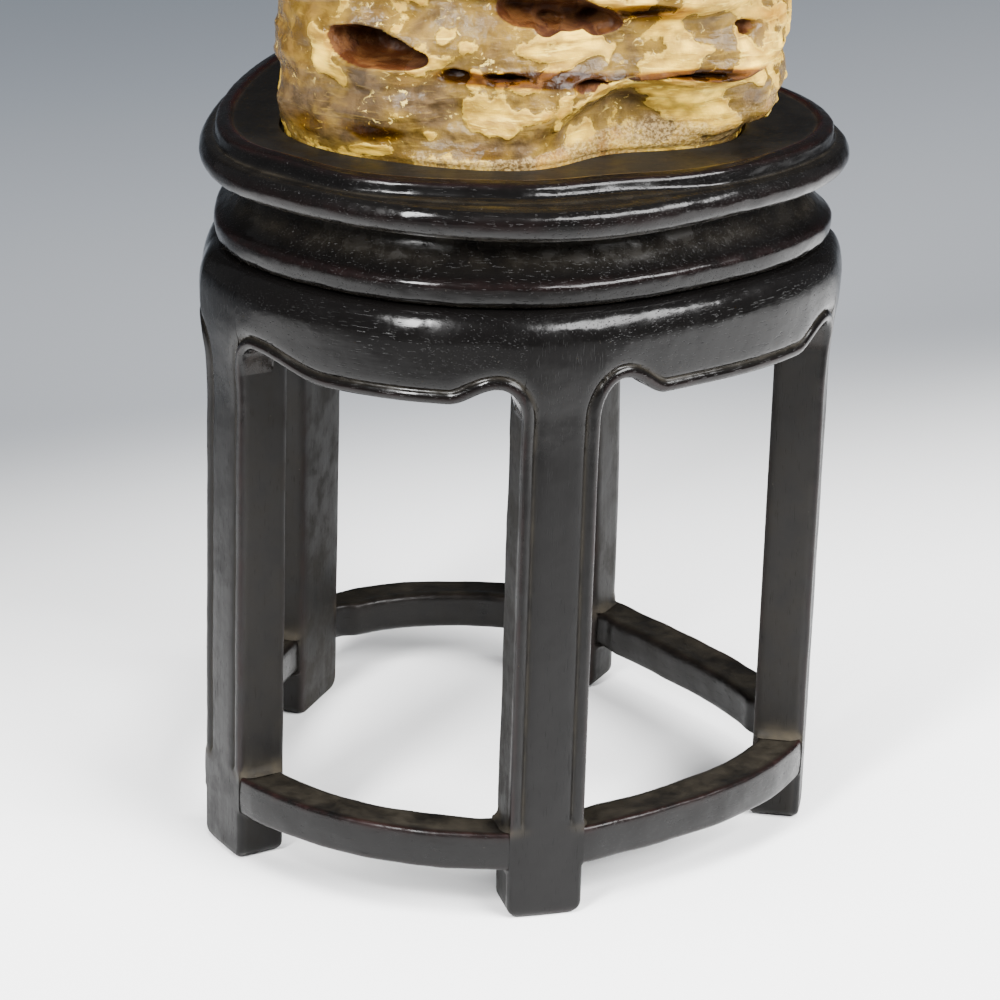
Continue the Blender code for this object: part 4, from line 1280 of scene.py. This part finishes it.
def sweep_look():
    paper = Bench("sweep")
    place = paper.place()
    side, back, up = (paper.node("ShaderNodeSeparateXYZ", None, {"Vector": place}, axis) for axis in "XYZ")
    depth = back - side * 0.45
    painted_right_light = (side + 0.02).between(-0.15, 0.35) * back.between(0.1, 0.5) * 0.5
    # Painted shade and light: greyer with distance behind, lighter on the right, grey in front and up the
    # wall.
    colour = paper.coats(PAPER, (depth.between(0.06, 0.30), PAINTED_SHADE_GREY), (depth.between(0.26, 0.85), PAINTED_FAR_SHADE),
                         (painted_right_light, PAINTED_RIGHT_LIGHT), (back.between(-0.115, -0.36), PAINTED_NEAR_SHADE),
                         (up.between(0.05, 0.40), PAINTED_WALL_SHADE))
    return paper.surface(Base_Color=colour, Roughness=0.9)


rows = [(SWEEP_FRONT, 0.0), (SWEEP_BACK, 0.0)]
rows += [(SWEEP_BACK + SWEEP_TURN * math.sin(a), SWEEP_TURN * (1 - math.cos(a)))
         for a in np.linspace(0, math.pi / 2, 24)[1:]]
rows += [(SWEEP_BACK + SWEEP_TURN, SWEEP_TOP)]
corners = [(x * MM, y * MM, z * MM) for y, z in rows for x in (-SWEEP_HALF_WIDTH, SWEEP_HALF_WIDTH)]
mesh = bpy.data.meshes.new("sweep")
mesh.from_pydata(corners, [], [(i, i + 1, i + 3, i + 2) for i in range(0, len(corners) - 2, 2)])
mesh.materials.append(sweep_look())
mesh.shade_smooth()
sweep = bpy.data.objects.new("sweep", mesh)
bpy.context.scene.collection.objects.link(sweep)
sweep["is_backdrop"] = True

# %% Lamps
TARGET = Vector((0, 0, 0.14))
LAMPS = [  # (name, azimuth, elevation, distance, (width, height), power, does it add shine)
    ("softbox_left", -30, 34, 1.3, (0.26, 0.55), 44, True),
    ("softbox_right", 54, 34, 1.3, (1.15, 0.55), 72, True),
    ("fill_top", 0, 80, 1.4, (0.9, 0.9), 42, False),
]
SKY = (0.86, 0.90, 0.96, 1)
SKY_STRENGTH = 0.25

for name, azimuth, elevation, distance, size, power, shine in LAMPS:
    light = bpy.data.lights.new(name, "AREA")
    light.shape = "ELLIPSE"
    light.size, light.size_y = size
    light.energy = power
    lamp = bpy.data.objects.new(name, light)
    a, e = math.radians(azimuth), math.radians(elevation)  # azimuth 0 is in front, 90 is right
    direction = Vector((math.sin(a) * math.cos(e), -math.cos(a) * math.cos(e), math.sin(e)))
    lamp.location = TARGET + distance * direction
    lamp.rotation_euler = (TARGET - lamp.location).to_track_quat("-Z", "Y").to_euler()
    lamp.visible_glossy = shine
    bpy.context.scene.collection.objects.link(lamp)
    print(name, "at", [round(value, 2) for value in lamp.location])

world = bpy.data.worlds.new("studio")
bpy.context.scene.world = world
world.use_nodes = True
background = world.node_tree.nodes["Background"]
background.inputs["Color"].default_value = SKY
background.inputs["Strength"].default_value = SKY_STRENGTH

# %% [markdown]
# ## Sizes and the end
# The boxes of the plain solids and of the finished pieces are printed.

# %% Sizes
visual_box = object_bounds()
boxes = {"cad": [list(corner) for corner in cad_box], "visual": [list(corner) for corner in visual_box]}
for name, (low, high) in boxes.items():
    print(name, [round(value * 1000, 2) for value in low], [round(value * 1000, 2) for value in high])
